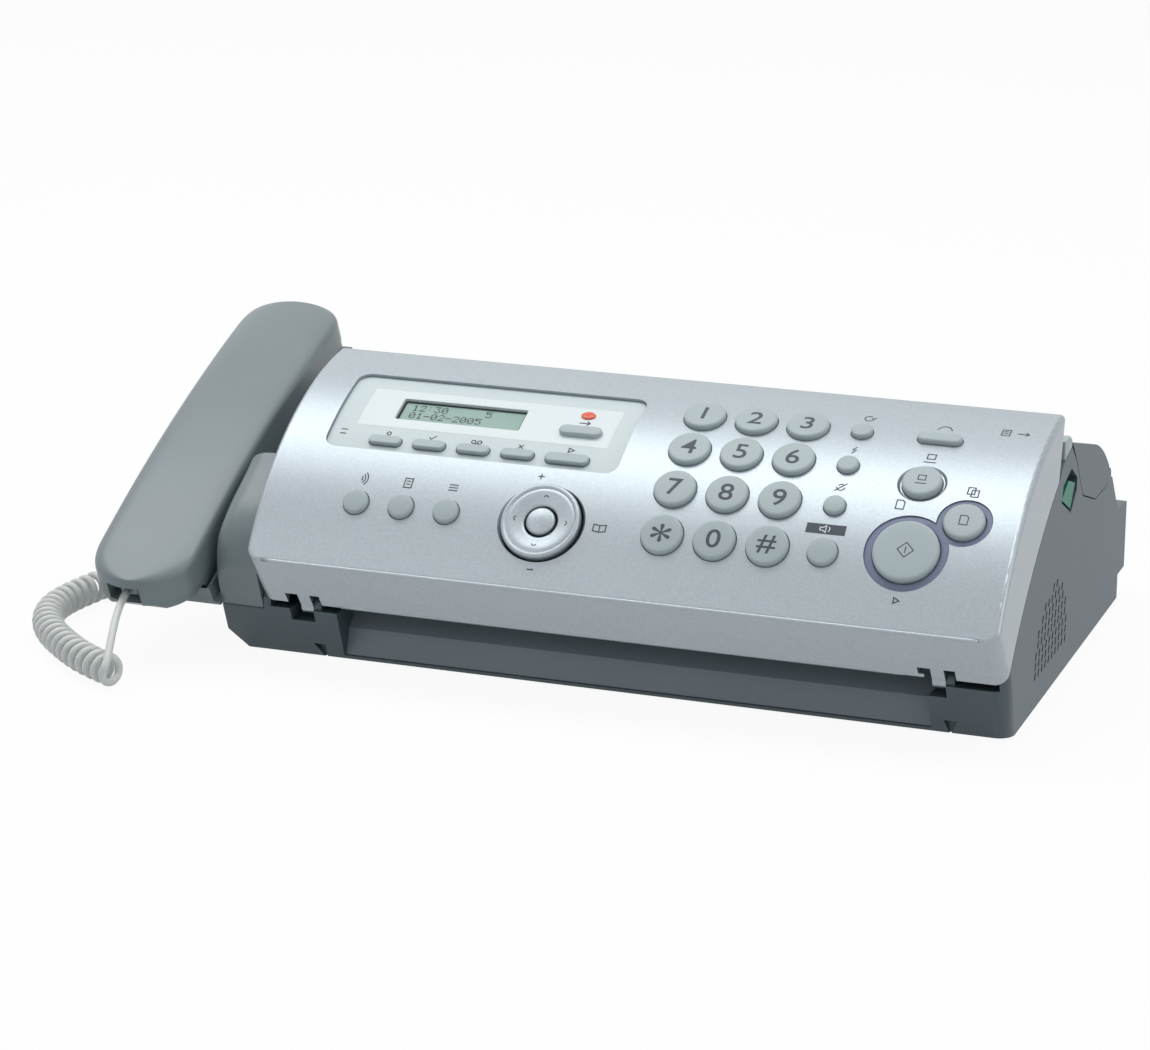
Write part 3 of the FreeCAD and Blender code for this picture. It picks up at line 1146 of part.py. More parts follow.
def handset_cradle():
    """A cheek beside the panel, and a wing with two wells that carries the handset clear of the floor."""
    centre = (PANEL_AXIS_Y, PANEL_AXIS_Z)

    def cheek_point(angle):
        turn = math.radians(angle)
        return (centre[0] - CHEEK_RADIUS * math.sin(turn), centre[1] + CHEEK_RADIUS * math.cos(turn))

    nose = cheek_point(CHEEK_NOSE_ANGLE)
    foot_y = nose[0] + CHEEK_UNDERCUT
    rear = cheek_point(PANEL_REAR_ANGLE)
    middle = cheek_point((CHEEK_NOSE_ANGLE + PANEL_REAR_ANGLE) / 2)
    cheek = extrude_x([
        (foot_y, ANNEX_TOP_Z),
        nose,
        (middle, rear),
        (BACK_BEND[0], BACK_BEND[1] - CHEEK_DROP),
        (CHEEK_REAR_Y, BACK_BEND[1] - CHEEK_REAR_DROP),
        (CHEEK_REAR_Y, ANNEX_TOP_Z),
    ], ANNEX_LEFT_X, CHEEK_RIGHT_X)
    upright = [e for e in cheek.Edges if e.BoundBox.XMax < ANNEX_LEFT_X + NEAR
               and e.BoundBox.YMax < foot_y + NEAR and e.BoundBox.ZLength > NEAR]
    cheek = cheek.makeFillet(CRADLE_CORNER, upright)
    left = WING_LEFT_X - HANDSET_X
    right = ANNEX_LEFT_X - HANDSET_X
    wing = extrude_x([
        (WING_SPAN[0], WING_FRONT_BOTTOM),
        (WING_SPAN[0], WING_TOP),
        (WING_SPAN[1], WING_TOP),
        (WING_SPAN[1], WING_REAR_BOTTOM),
    ], left, right + OVERCUT)
    rim = extrude_x([
        (WING_SPAN[0], WING_TOP - OVERCUT),
        (WING_SPAN[0], RIM_TOP),
        (WING_SPAN[1] - RIM_REAR_CUT, RIM_TOP),
        (WING_SPAN[1], WING_TOP - OVERCUT),
    ], right - RIM_THICK, right + OVERCUT)
    wells = []
    half = HANDSET_WIDTH / 2 - INNER_INSET + WELL_GAP
    for span, depth in ((MOUTH_SPAN, MOUTH_DEPTH), (EAR_SPAN, EAR_DEPTH)):
        slope = CAP_SLOPE / (depth - GRIP_DEPTH)
        rise = -WING_TOP
        wells.append(extrude_x([
            (span[0] - WELL_GAP, -depth - SEAT_GAP),
            (span[0] - WELL_GAP - slope * (depth - rise) - WELL_FLARE[0], WING_TOP + OVERCUT),
            (span[1] + WELL_GAP + slope * (depth - rise) + WELL_FLARE[1], WING_TOP + OVERCUT),
            (span[1] + WELL_GAP, -depth - SEAT_GAP),
        ], -half, half))
    side = HOOK_SIZE / 2 + RUN_GAP
    hook_hole = block((-side, side), (HOOK_ALONG - side, HOOK_ALONG + side),
                      (-GRIP_DEPTH - HOOK_LENGTH - 2 * RUN_GAP - SEAT_GAP, WING_TOP + OVERCUT))
    wing = wing.fuse(rim).cut(wells + [hook_hole])
    wing = in_cradle(wing)
    floor_cut = block((WING_LEFT_X - OVERCUT, CHEEK_RIGHT_X), (HANDSET_FOOT_Y, TAIL_Y), (0, ANNEX_TOP_Z))
    return cheek.fuse(wing.cut(floor_cut)).removeSplitter()


def hook_switch():
    """The plunger under the grip that the handset holds down."""
    side = HOOK_SIZE / 2
    top = -GRIP_DEPTH - SEAT_GAP
    stem = block((-side, side), (HOOK_ALONG - side, HOOK_ALONG + side), (top - HOOK_LENGTH, top))
    crown = [e for e in stem.Edges if e.BoundBox.ZMin > top - 1e-6]
    return in_cradle(stem.makeChamfer(HOOK_CHAMFER, crown))


# Curly cord and its plugs

def handset_jack_face():
    """Where the cord leaves the handset's plug, and the direction that it leaves in."""
    start = HANDSET_PLACE.multVec(V(HANDSET_JACK_SIDE, JACK_OPENING_LENGTH - PLUG_LENGTH, HANDSET_JACK_DEPTH))
    return start, HANDSET_PLACE.Rotation.multVec(V(0, -1, 0))


def handset_plug():
    """The plug in the foot of the handset."""
    half = PLUG_SIZE[0] / 2
    high = PLUG_SIZE[1] / 2
    body = block((HANDSET_JACK_SIDE - half, HANDSET_JACK_SIDE + half),
                 (JACK_OPENING_LENGTH - PLUG_LENGTH, JACK_OPENING_LENGTH),
                 (HANDSET_JACK_DEPTH - high, HANDSET_JACK_DEPTH + high))
    return in_cradle(body)


def base_plug():
    """The plug in the jack on the left wall of the base."""
    half = PLUG_SIZE[0] / 2
    high = PLUG_SIZE[1] / 2
    return block((ANNEX_LEFT_X - BASE_WALL, ANNEX_LEFT_X + PLUG_LENGTH - BASE_WALL),
                 (BASE_JACK_Y - half, BASE_JACK_Y + half),
                 (BASE_JACK_Z - high, BASE_JACK_Z + high))


def route_steps(points):
    """Runs and tangent arcs through the points, as pieces with a length and a place at each distance."""
    pieces = []
    here = V(*points[0], 0)
    for i in range(1, len(points) - 1):
        before, corner, after = (V(*points[j], 0) for j in (i - 1, i, i + 1))
        way_in = (corner - before).normalize()
        way_out = (after - corner).normalize()
        turn = way_in.getAngle(way_out)
        shorter = min((corner - before).Length, (after - corner).Length)
        trim = ROUTE_TRIM * shorter
        radius = trim / math.tan(turn / 2)
        hand = 1.0 if way_in.cross(way_out).z > 0 else -1.0
        begin = corner - way_in * trim
        pieces.append(("run", here, way_in, (begin - here).Length, 0.0))
        pieces.append(("arc", begin, way_in, radius * turn, hand / radius))
        here = corner + way_out * trim
    last = V(*points[-1], 0)
    pieces.append(("run", here, (last - here).normalize(), (last - here).Length, 0.0))
    return pieces


def route_at(pieces, distance):
    """The place and heading on the route at a distance from its start."""
    for kind, begin, way, length, bend in pieces:
        if distance <= length or (kind, begin) == (pieces[-1][0], pieces[-1][1]):
            if bend == 0.0:
                return begin + way * distance, way
            swing = distance * bend
            side = V(-way.y, way.x, 0)
            place = begin + way * (math.sin(swing) / bend) + side * ((1 - math.cos(swing)) / bend)
            return place, way * math.cos(swing) + side * math.sin(swing)
        distance -= length
    return begin, way


def curl_at(pieces, distance):
    """A point of the wire on its curls, and the wire's heading there; the curls turn left-handed."""
    place, way = route_at(pieces, distance)
    side = V(-way.y, way.x, 0)
    up = V(0, 0, 1)
    turn = math.radians(CURL_START_TURN) + 2 * math.pi * distance / CURL_PITCH
    radius = CURL_DIAMETER / 2
    point = place + up * (radius * math.cos(turn) + CURL_FLOOR) + side * (radius * math.sin(turn))
    heading = (side * math.cos(turn) - up * math.sin(turn)) * radius + way * (CURL_PITCH / (2 * math.pi))
    return point, heading.normalize()


def arc_between(start, way, end):
    """An arc that leaves start along way and reaches end, and its heading at the end."""
    chord = end - start
    along = chord.dot(way)
    across = chord - way * along
    if across.Length < 1e-6:
        return Part.LineSegment(start, end).toShape(), way
    normal = across * (1 / across.Length)
    radius = chord.dot(chord) / (2 * across.Length)
    swing = 2 * math.atan2(across.Length, along)
    middle = start + way * (radius * math.sin(swing / 2)) + normal * (radius * (1 - math.cos(swing / 2)))
    return Part.Arc(start, middle, end).toShape(), way * math.cos(swing) + normal * math.sin(swing)


def biarc(start, way_out, end, way_in):
    """Two tangent arcs from start to end with the headings given."""
    gap = end - start
    both = way_out + way_in
    a = 2 * (1 - way_out.dot(way_in))
    b = 2 * gap.dot(both)
    c = -gap.dot(gap)
    if abs(a) < 1e-9:
        reach = -c / b
    else:
        reach = (-b + math.sqrt(b * b - 4 * a * c)) / (2 * a)
    joint = (start + way_out * reach + end - way_in * reach) * 0.5
    first, heading = arc_between(start, way_out, joint)
    second, heading = arc_between(joint, heading, end)
    return [first, second]


CURL_FLOOR = CURL_DIAMETER / 2 + CORD_DIAMETER / 2 + CURL_REST


def cord_edges():
    """The wire's middle line: out of the handset's plug, down to the curls, into the base's plug."""
    pieces = route_steps(CURL_ROUTE)
    length = sum(piece[3] for piece in pieces)
    half_turns = int(2 * length / CURL_PITCH)
    stations = [curl_at(pieces, i * CURL_PITCH / 2) for i in range(half_turns + 1)]
    start, way = handset_jack_face()
    clear = start + way * (JACK_OPENING_LENGTH - PLUG_LENGTH + CORD_DIAMETER)
    finish = V(ANNEX_LEFT_X - BASE_WALL, BASE_JACK_Y, BASE_JACK_Z)
    before = finish - V(CORD_DIAMETER, 0, 0)
    edges = [Part.LineSegment(start, clear).toShape()]
    edges += biarc(clear, way, *stations[0])
    for here, there in zip(stations, stations[1:]):
        edges += biarc(*here, *there)
    tail = [stations[-1][0]] + [V(*point) for point in TAIL_POINTS] + [before]
    here = stations[-1]
    for i in range(1, len(tail) - 1):
        there = (tail[i], (tail[i + 1] - tail[i - 1]).normalize())
        edges += biarc(*here, *there)
        here = there
    edges += biarc(*here, before, V(1, 0, 0))
    edges.append(Part.LineSegment(before, finish).toShape())
    print("curls", half_turns / 2, "route", round(length, 1), "mm")
    return edges


def handset_cord():
    """One unbroken wire, faceted, swept along the cord's middle line."""
    edges = cord_edges()
    start, way = handset_jack_face()
    side = V(1, 0, 0)
    up = way.cross(side)
    radius = CORD_DIAMETER / 2
    turns = [2 * math.pi * i / CORD_SIDES for i in range(CORD_SIDES + 1)]
    ring = [start + (side * math.cos(turn) + up * math.sin(turn)) * radius for turn in turns]
    pipe = Part.BRepOffsetAPI.MakePipeShell(Part.Wire(edges))
    pipe.add(Part.makePolygon(ring))
    pipe.build()
    pipe.makeSolid()
    tube = Part.Solid(pipe.shape())
    line = sum(edge.Length for edge in edges)
    area = CORD_SIDES / 2 * radius * radius * math.sin(2 * math.pi / CORD_SIDES)
    print("cord length", round(line, 1), "mm")
    print("volume ratio", round(tube.Volume / (area * line), 4), "valid", tube.isValid())
    print("least gap of the cord to itself", round(self_gap(edges), 2), "mm")
    return tube


def self_gap(edges):
    """The least gap between stretches of the wire that are half a curl or more apart along it."""
    points = []
    run = 0.0
    for edge in edges:
        count = max(2, int(edge.Length / GAP_STEP))
        for i in range(count):
            points.append((run + edge.Length * i / count, edge.valueAt(
                edge.FirstParameter + (edge.LastParameter - edge.FirstParameter) * i / count)))
        run += edge.Length
    apart = math.pi * CURL_DIAMETER / 2
    window = 4 * math.pi * CURL_DIAMETER
    least = window
    for i, (here, point) in enumerate(points):
        for there, other in points[i + 1:]:
            if there - here > window:
                break
            if there - here > apart:
                least = min(least, point.distanceToPoint(other))
    return least - CORD_DIAMETER


# Write every piece

def save(name, shape):
    """One file for each piece."""
    if not shape.isValid():
        print("not valid:", name)
    shape.exportStep("parts/" + name + ".step")


for key in KEYS:
    save(key["name"], make_key(key))
save("navigator_ring", navigator_ring())
save("base_housing", base_housing())
save("paper_exit_ramp", paper_exit_ramp())
save("front_cover", front_cover())
save("display_bezel", display_bezel())
save("lcd_module", lcd_module())
save("start_key_surround", start_key_surround())
save("panel_board", panel_board())
save("back_cover", back_cover())
save("document_tray", document_tray())
save("document_guide_left", document_guide(-1))
save("document_guide_right", document_guide(1))
save("release_lever", release_lever())
save("platen_roller", roller(PLATEN_AXIS, PLATEN_RADIUS))
save("document_feed_roller", roller(FEED_AXIS, FEED_RADIUS))
save("film_supply_core", roller(SUPPLY_AXIS, SUPPLY_RADIUS))
save("film_take_up_core", roller(TAKE_UP_AXIS, TAKE_UP_RADIUS))
save("thermal_head", thermal_head())
save("image_sensor", image_sensor())
save("main_board", main_board())
save("drive_motor", drive_motor())
save("speaker", speaker())
save("rubber_feet", rubber_feet())
save("handset_outer_shell", handset_outer_shell())
save("handset_inner_shell", handset_inner_shell())
save("handset_cradle", handset_cradle())
save("hook_switch", hook_switch())
save("handset_plug", handset_plug())
save("base_plug", base_plug())
save("handset_cord", handset_cord())
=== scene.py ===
# %% [markdown]
# A desk fax machine with a corded handset. The solid model gives every piece its size and place. This
# lesson dresses it: a camera and soft light, the finishes of the mouldings, the curly cord, domed key caps,
# the display and the printed signs. Places in the scene are in metres, in the frame of the solid model, so a
# new piece is worked out where it belongs. Small sizes are written in mm and turned to metres as they are
# set.

# %% Load the solid model
import json

import bmesh
import bpy
import numpy as np
from mathutils import Matrix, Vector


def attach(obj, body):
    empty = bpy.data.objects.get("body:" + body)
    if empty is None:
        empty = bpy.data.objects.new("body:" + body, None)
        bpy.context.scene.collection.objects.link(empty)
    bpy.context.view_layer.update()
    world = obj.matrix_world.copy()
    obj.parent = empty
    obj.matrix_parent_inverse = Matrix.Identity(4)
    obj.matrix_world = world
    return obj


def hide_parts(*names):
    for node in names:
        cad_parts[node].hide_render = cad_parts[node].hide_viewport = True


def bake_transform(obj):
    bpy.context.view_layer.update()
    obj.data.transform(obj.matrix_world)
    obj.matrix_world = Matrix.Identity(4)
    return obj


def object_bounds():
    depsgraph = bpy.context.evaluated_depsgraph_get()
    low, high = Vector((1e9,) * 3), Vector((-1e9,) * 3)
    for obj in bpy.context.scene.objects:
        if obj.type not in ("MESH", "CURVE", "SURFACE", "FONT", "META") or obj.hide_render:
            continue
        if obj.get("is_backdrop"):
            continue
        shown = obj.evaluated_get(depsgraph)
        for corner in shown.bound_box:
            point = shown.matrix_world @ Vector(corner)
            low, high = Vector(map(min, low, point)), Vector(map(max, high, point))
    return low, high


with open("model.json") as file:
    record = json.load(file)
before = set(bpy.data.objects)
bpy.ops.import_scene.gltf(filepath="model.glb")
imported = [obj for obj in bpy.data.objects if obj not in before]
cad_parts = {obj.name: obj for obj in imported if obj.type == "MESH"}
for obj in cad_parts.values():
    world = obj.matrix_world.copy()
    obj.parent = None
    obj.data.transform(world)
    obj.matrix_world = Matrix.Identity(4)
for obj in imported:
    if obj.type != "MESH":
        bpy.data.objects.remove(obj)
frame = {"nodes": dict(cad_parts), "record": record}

cad_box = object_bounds()
MM = 0.001
print("solid model, in mm:", [[round(v / MM, 1) for v in corner] for corner in cad_box])

# %% [markdown]
# The photograph was taken with a long lens from in front, a little to the right and above. Its place and
# turn were worked out from straight edges and from the grid of number keys, so the camera is set with three
# axes instead of angles. A long lens keeps the far end of the machine almost as large as the near end.

# %% Camera
CAMERA_PLACE = (0.4645, -1.3034, 0.4641)
CAMERA_AXES = np.array(((0.93789, 0.34694, 0.0), (-0.10126, 0.27374, 0.95646), (0.33183, -0.89705, 0.29187)))
SENSOR_MM = 36.0
PICTURE_WIDTH = 1150       # pixels
FOCAL_LENGTH = 3700        # in the same pixels
scene = bpy.context.scene
camera_data = bpy.data.cameras.new("studio_camera")
camera_data.sensor_fit = "HORIZONTAL"
camera_data.sensor_width = SENSOR_MM
camera_data.lens = SENSOR_MM * FOCAL_LENGTH / PICTURE_WIDTH
camera = bpy.data.objects.new("studio_camera", camera_data)
camera.matrix_world = Matrix.Translation(CAMERA_PLACE) @ Matrix(CAMERA_AXES.T.tolist()).to_4x4()
scene.collection.objects.link(camera)
scene.camera = camera
print("lens", round(camera_data.lens, 1), "mm")

# %% [markdown]
# Colours are written as sRGB hex values, as a painter's chart gives them, and one function turns them to
# the linear values that the shaders need. A second function adds one node with its settings, its values and
# its links, and a third starts a new material.

# %% Colour and node helpers
def linear(hex_colour):
    """sRGB to linear: small values divide by 12.92, the rest follow the 2.4 power curve."""
    value = np.array([int(hex_colour[i:i + 2], 16) for i in (1, 3, 5)]) / 255
    value = np.where(value <= 0.04045, value / 12.92, ((value + 0.055) / 1.055) ** 2.4)
    return (*value.tolist(), 1.0)


def add(tree, kind, values=None, links=None, **settings):
    """One node: settings are its properties, values its sockets, links the outputs that feed its sockets."""
    node = tree.nodes.new(kind)
    for name, setting in settings.items():
        setattr(node, name, setting)
    for socket, value in (values or {}).items():
        node.inputs[socket].default_value = value
    for socket, source in (links or {}).items():
        tree.links.new(source, node.inputs[socket])
    return node


def blank(name):
    """A new node material with its output, ready for a shader."""
    material = bpy.data.materials.new(name)
    material.use_nodes = True
    material.node_tree.nodes.clear()
    tree = material.node_tree
    return material, tree, add(tree, "ShaderNodeOutputMaterial")


print("slate grey in linear light:", [round(v, 3) for v in linear("#66717a")])

# %% [markdown]
# The machine stands on pale paper that the camera sees as almost white. Shiny pieces mirror it as white too,
# so the silver panel shows the studio around it. Light that only scatters meets a greyer paper, which keeps
# the lower faces of the machine deep. The Light Path node tells these rays apart.

# %% Floor paper
FLOOR_GLOW = 0.93          # share of plain white in what is seen of the floor
FLOOR_HALF = 6.0           # metres


def seen_rays(tree):
    """1 for a ray from the camera, from a mirror or through a clear piece, and 0 for light that scatters."""
    path = add(tree, "ShaderNodeLightPath")
    mirrored = add(tree, "ShaderNodeMath", operation="MAXIMUM",
                   links={0: path.outputs["Is Glossy Ray"], 1: path.outputs["Is Transmission Ray"]})
    seen = add(tree, "ShaderNodeMath", operation="MAXIMUM",
               links={0: path.outputs["Is Camera Ray"], 1: mirrored.outputs[0]})
    return seen.outputs[0]


floor_paper, tree, output = blank("studio_paper")
matt = add(tree, "ShaderNodeBsdfDiffuse", {"Color": linear("#f4f4f4")})
glow = add(tree, "ShaderNodeEmission", {"Color": linear("#ffffff"), "Strength": 1.0})
white = add(tree, "ShaderNodeMixShader", {0: FLOOR_GLOW}, {1: matt.outputs[0], 2: glow.outputs[0]})
bounce = add(tree, "ShaderNodeBsdfDiffuse", {"Color": linear("#d4d6d8")})
both = add(tree, "ShaderNodeMixShader", links={0: seen_rays(tree), 1: bounce.outputs[0], 2: white.outputs[0]})
tree.links.new(both.outputs[0], output.inputs["Surface"])

floor_mesh = bpy.data.meshes.new("floor")
floor_mesh.from_pydata([(x, y, 0.0) for x, y in ((-1, -1), (1, -1), (1, 1), (-1, 1))], [], [(0, 1, 2, 3)])
floor_mesh.transform(Matrix.Diagonal((FLOOR_HALF, FLOOR_HALF, 1, 1)))
floor_mesh.materials.append(floor_paper)
floor = bpy.data.objects.new("floor", floor_mesh)
scene.collection.objects.link(floor)
floor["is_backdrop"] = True
print("floor", 2 * FLOOR_HALF, "m across")

# %% [markdown]
# A pale sky fills the shadows from all round. It lights the machine at less than half the strength at which
# it is seen, so that it fills without flattening.

# %% Sky
SKY_STRENGTH = 0.42
world = bpy.data.worlds.new("studio_sky")
world.use_nodes = True
tree = world.node_tree
tree.nodes.clear()
sky = add(tree, "ShaderNodeBackground", {"Color": linear("#f2f6fa"), "Strength": SKY_STRENGTH})
white = add(tree, "ShaderNodeBackground", {"Color": linear("#ffffff"), "Strength": 1.0})
mixed = add(tree, "ShaderNodeMixShader", links={0: seen_rays(tree), 1: sky.outputs[0], 2: white.outputs[0]})
add(tree, "ShaderNodeOutputWorld", links={"Surface": mixed.outputs[0]})
scene.world = world
print("sky at", SKY_STRENGTH)

# %% [markdown]
# A product studio lights satin plastic with one large soft box above, because a small lamp would give hard
# spots. The box hangs a little behind the machine, so its mirror image lies in a bright band across the
# curved panel. Three weaker boxes fill the front, the right wall and the rear.

# %% Soft boxes
def unit(vectors):
    """Each vector divided by its own length."""
    return vectors / np.linalg.norm(vectors, axis=-1, keepdims=True)


def soft_box(name, place, aim, size, watts):
    """A flat lamp of that width and depth at a place, its face turned to the aim."""
    lamp = bpy.data.lights.new(name, "AREA")
    lamp.shape = "RECTANGLE"
    lamp.size, lamp.size_y = size
    lamp.energy = watts
    back = unit(np.subtract(place, aim))
    right = unit(np.cross((0.0, 1.0, 0.0), back))
    axes = np.array((right, np.cross(back, right), back))
    box = bpy.data.objects.new(name, lamp)
    box.matrix_world = Matrix.Translation(place) @ Matrix(axes.T.tolist()).to_4x4()
    scene.collection.objects.link(box)
    return box


soft_box("overhead_box", (-0.2, 0.14, 1.5), (0.0, 0.0, 0.08), (2.4, 0.75), 17.0)
soft_box("front_fill", (-1.1, -1.7, 1.5), (0.0, 0.0, 0.05), (1.2, 1.2), 2.5)
soft_box("right_fill", (2.0, -0.3, 0.9), (0.0, 0.0, 0.05), (1.2, 1.2), 5.5)
soft_box("rear_box", (-0.55, 1.5, 1.45), (0.0, 0.0, 0.1), (2.4, 0.8), 2.4)
scene.view_settings.view_transform = "Standard"

# %% [markdown]
# Most of the machine is ABS, moulded in steel tools whose faces were spark-eroded to a fine even grain.
# That grain scatters light, so the plastic looks soft and satin, and very slightly mottled where it flowed.
# One function makes this finish, and each grey is a new call of it. The real grain is near 0.1 mm across,
# too fine to show here, so it is drawn at about 0.6 mm.

# %% Moulded ABS
GRAIN_MM, GRAIN_DEPTH_MM = 0.6, 0.05
FLOW_MM = 60.0
FLOW_RANGE = (0.3, 0.7)
DULL_SPREAD = 0.05
PLASTIC_IOR = 1.53


def moulded_abs(name, colour, shade, roughness=0.48, relief=0.06):
    """ABS from a spark-eroded tool: a broad, faint flow from colour to shade, and a fine grain as relief."""
    material, tree, output = blank(name)
    place = add(tree, "ShaderNodeTexCoord").outputs["Object"]
    flow = add(tree, "ShaderNodeTexNoise", {"Scale": 1 / (FLOW_MM * MM), "Detail": 2.0}, {"Vector": place})
    grain = add(tree, "ShaderNodeTexNoise", {"Scale": 1 / (GRAIN_MM * MM), "Detail": 1.0}, {"Vector": place})
    tint = add(tree, "ShaderNodeValToRGB", links={"Fac": flow.outputs["Fac"]})
    for element, place_on_ramp, tone in zip(tint.color_ramp.elements, FLOW_RANGE, (colour, shade)):
        element.position = place_on_ramp
        element.color = linear(tone)
    dull = add(tree, "ShaderNodeMapRange",
               {"To Min": roughness - DULL_SPREAD, "To Max": roughness + DULL_SPREAD},
               {"Value": grain.outputs["Fac"]})
    bump = add(tree, "ShaderNodeBump", {"Strength": relief, "Distance": GRAIN_DEPTH_MM * MM},
               {"Height": grain.outputs["Fac"]})
    shader = add(tree, "ShaderNodeBsdfPrincipled", {"IOR": PLASTIC_IOR},
                 {"Base Color": tint.outputs["Color"], "Roughness": dull.outputs["Result"],
                  "Normal": bump.outputs["Normal"]})
    tree.links.new(shader.outputs["BSDF"], output.inputs["Surface"])
    return material


# Housing and rear cover: dark slate, grained, so that the base looks matt and heavy under the bright panel.
housing_abs = moulded_abs("abs_slate_grey_moulded", "#4c5a61", "#48565d")
# Paper ramp: slate from a rougher tool, since paper slides better on it. It lies in the base's shade, and its
# grey is painted lighter to make up for that shade: painted light.
ramp_abs_painted_lighter = moulded_abs("abs_dark_slate_painted_lighter", "#838e96", "#7d8890", 0.55)
# Handset and cradle: a mid grey from a smoother tool, with a soft sheen where a hand takes hold.
cradle_abs = moulded_abs("abs_mid_grey_moulded", "#7a8689", "#758184", 0.34)
# Display frame: pale, faintly green and matt, so that it gives no glare by the window.
bezel_abs = moulded_abs("abs_pale_green_grey_moulded", "#d0dcdd", "#cbd7d9", 0.5)
# Keys: light grey, a little smoother than the frame, so that their rims catch the light.
key_abs = moulded_abs("abs_key_grey_moulded", "#adbabc", "#a8b5b8", 0.45)
# Insert round the two main keys: muted blue and matt, coloured all through, which sets the keys off.
surround_abs = moulded_abs("abs_blue_grey_moulded", "#77809a", "#737c95", 0.5)
# Release lever: deep sea green, the usual colour for something a user may move inside a machine.
lever_abs = moulded_abs("abs_sea_green_moulded", "#067a63", "#05715c", 0.5)
# Sill behind the panel: light grey with the same grain as the housing, bright along the panel's back edge.
tray_abs = moulded_abs("abs_light_grey_moulded", "#aab4b6", "#a5afb1")
# Film cores: undyed ABS, warm and dull, as it comes from the maker of the granules.
core_abs = moulded_abs("abs_natural_moulded", "#b9b9b2", "#b2b2ab", 0.5)
print("moulded greys:", [m.name for m in (housing_abs, ramp_abs_painted_lighter, cradle_abs, bezel_abs, key_abs)])

# %% [markdown]
# The operation panel is ABS sprayed with silver lacquer. Tiny aluminium flakes lie nearly flat in the clear
# coat, so it is part metal and part paint: a bright band under the soft box that falls off quickly, with a
# fine sparkle. Flakes are about 0.05 mm across, too fine to show, so the cells are drawn at 0.5 mm and kept
# faint.

# %% Silver lacquer
FLAKE_MM = 0.5
FLAKE_METAL = 0.7
silver_lacquer, tree, output = blank("silver_lacquer_on_abs")
place = add(tree, "ShaderNodeTexCoord").outputs["Object"]
flakes = add(tree, "ShaderNodeTexVoronoi", {"Scale": 1 / (FLAKE_MM * MM)}, {"Vector": place})
sparkle = add(tree, "ShaderNodeSeparateColor", links={"Color": flakes.outputs["Color"]})
tint = add(tree, "ShaderNodeValToRGB", links={"Fac": sparkle.outputs["Red"]})
tint.color_ramp.elements[0].color = linear("#9ea7ad")
tint.color_ramp.elements[1].color = linear("#a8b1b6")
dull = add(tree, "ShaderNodeMapRange", {"To Min": 0.33, "To Max": 0.4}, {"Value": sparkle.outputs["Green"]})
shader = add(tree, "ShaderNodeBsdfPrincipled", {"Metallic": FLAKE_METAL},
             {"Base Color": tint.outputs["Color"], "Roughness": dull.outputs["Result"]})
tree.links.new(shader.outputs["BSDF"], output.inputs["Surface"])
print("silver:", silver_lacquer.name)

# %% [markdown]
# Inside there are rubber rollers, steel and aluminium works, two circuit boards and clear plugs. They show
# when a cover is open, so each has its own finish, simpler than the outside: spots or streaks between two
# tones, which also change how dull the surface is.

# %% Works inside
SPOT_DULL, SPOT_RELIEF, SPOT_DEPTH_MM = 0.08, 0.15, 0.03


def worn(name, colour, shade, spot_mm, metallic, roughness, stretch=(1, 1, 1)):
    """A finish with spots of that size between two colours; stretch draws them out along an axis."""
    material, tree, output = blank(name)
    place = add(tree, "ShaderNodeTexCoord").outputs["Object"]
    drawn = add(tree, "ShaderNodeMapping", {"Scale": stretch}, {"Vector": place})
    spots = add(tree, "ShaderNodeTexNoise", {"Scale": 1 / (spot_mm * MM), "Detail": 3.0},
                {"Vector": drawn.outputs["Vector"]})
    tint = add(tree, "ShaderNodeValToRGB", links={"Fac": spots.outputs["Fac"]})
    tint.color_ramp.elements[0].color = linear(colour)
    tint.color_ramp.elements[1].color = linear(shade)
    dull = add(tree, "ShaderNodeMapRange", {"To Min": roughness - SPOT_DULL, "To Max": roughness + SPOT_DULL},
               {"Value": spots.outputs["Fac"]})
    bump = add(tree, "ShaderNodeBump", {"Strength": SPOT_RELIEF, "Distance": SPOT_DEPTH_MM * MM},
               {"Height": spots.outputs["Fac"]})
    shader = add(tree, "ShaderNodeBsdfPrincipled", {"Metallic": metallic},
                 {"Base Color": tint.outputs["Color"], "Roughness": dull.outputs["Result"],
                  "Normal": bump.outputs["Normal"]})
    tree.links.new(shader.outputs["BSDF"], output.inputs["Surface"])
    return material


# Rollers: nitrile rubber ground true on a lathe, black and dead matt.
roller_rubber = worn("nitrile_rubber_ground", "#2c2d2e", "#37383a", 0.8, 0.0, 0.75)
# Feet: moulded nitrile rubber, darker and dustier. The same finish paints the shade round the display window.
foot_rubber = worn("nitrile_rubber_moulded", "#26282a", "#2f3133", 1.5, 0.0, 0.8)
# Print head's bar: extruded aluminium, with die lines that run along it.
head_aluminium = worn("aluminium_extruded", "#b4b6b8", "#c8cacc", 1.2, 1.0, 0.38, (0.05, 1, 1))
# Motor can: zinc-plated steel, whose crystals show as soft patches.
motor_steel = worn("steel_zinc_plated", "#a7a9a6", "#bcbdb8", 3.0, 1.0, 0.35)
# Circuit boards: glass-epoxy under green solder mask, half glossy, mottled by the weave.
board_laminate = worn("glass_epoxy_board", "#1f5a3c", "#2a6b49", 2.2, 0.0, 0.4)
# Cord plugs: moulded polycarbonate, smooth and glossy.
plug_clear = worn("polycarbonate_clear_grey", "#aeb4b6", "#bcc2c4", 2.0, 0.0, 0.12)
print("works:", [m.name for m in (roller_rubber, head_aluminium, motor_steel, board_laminate)])
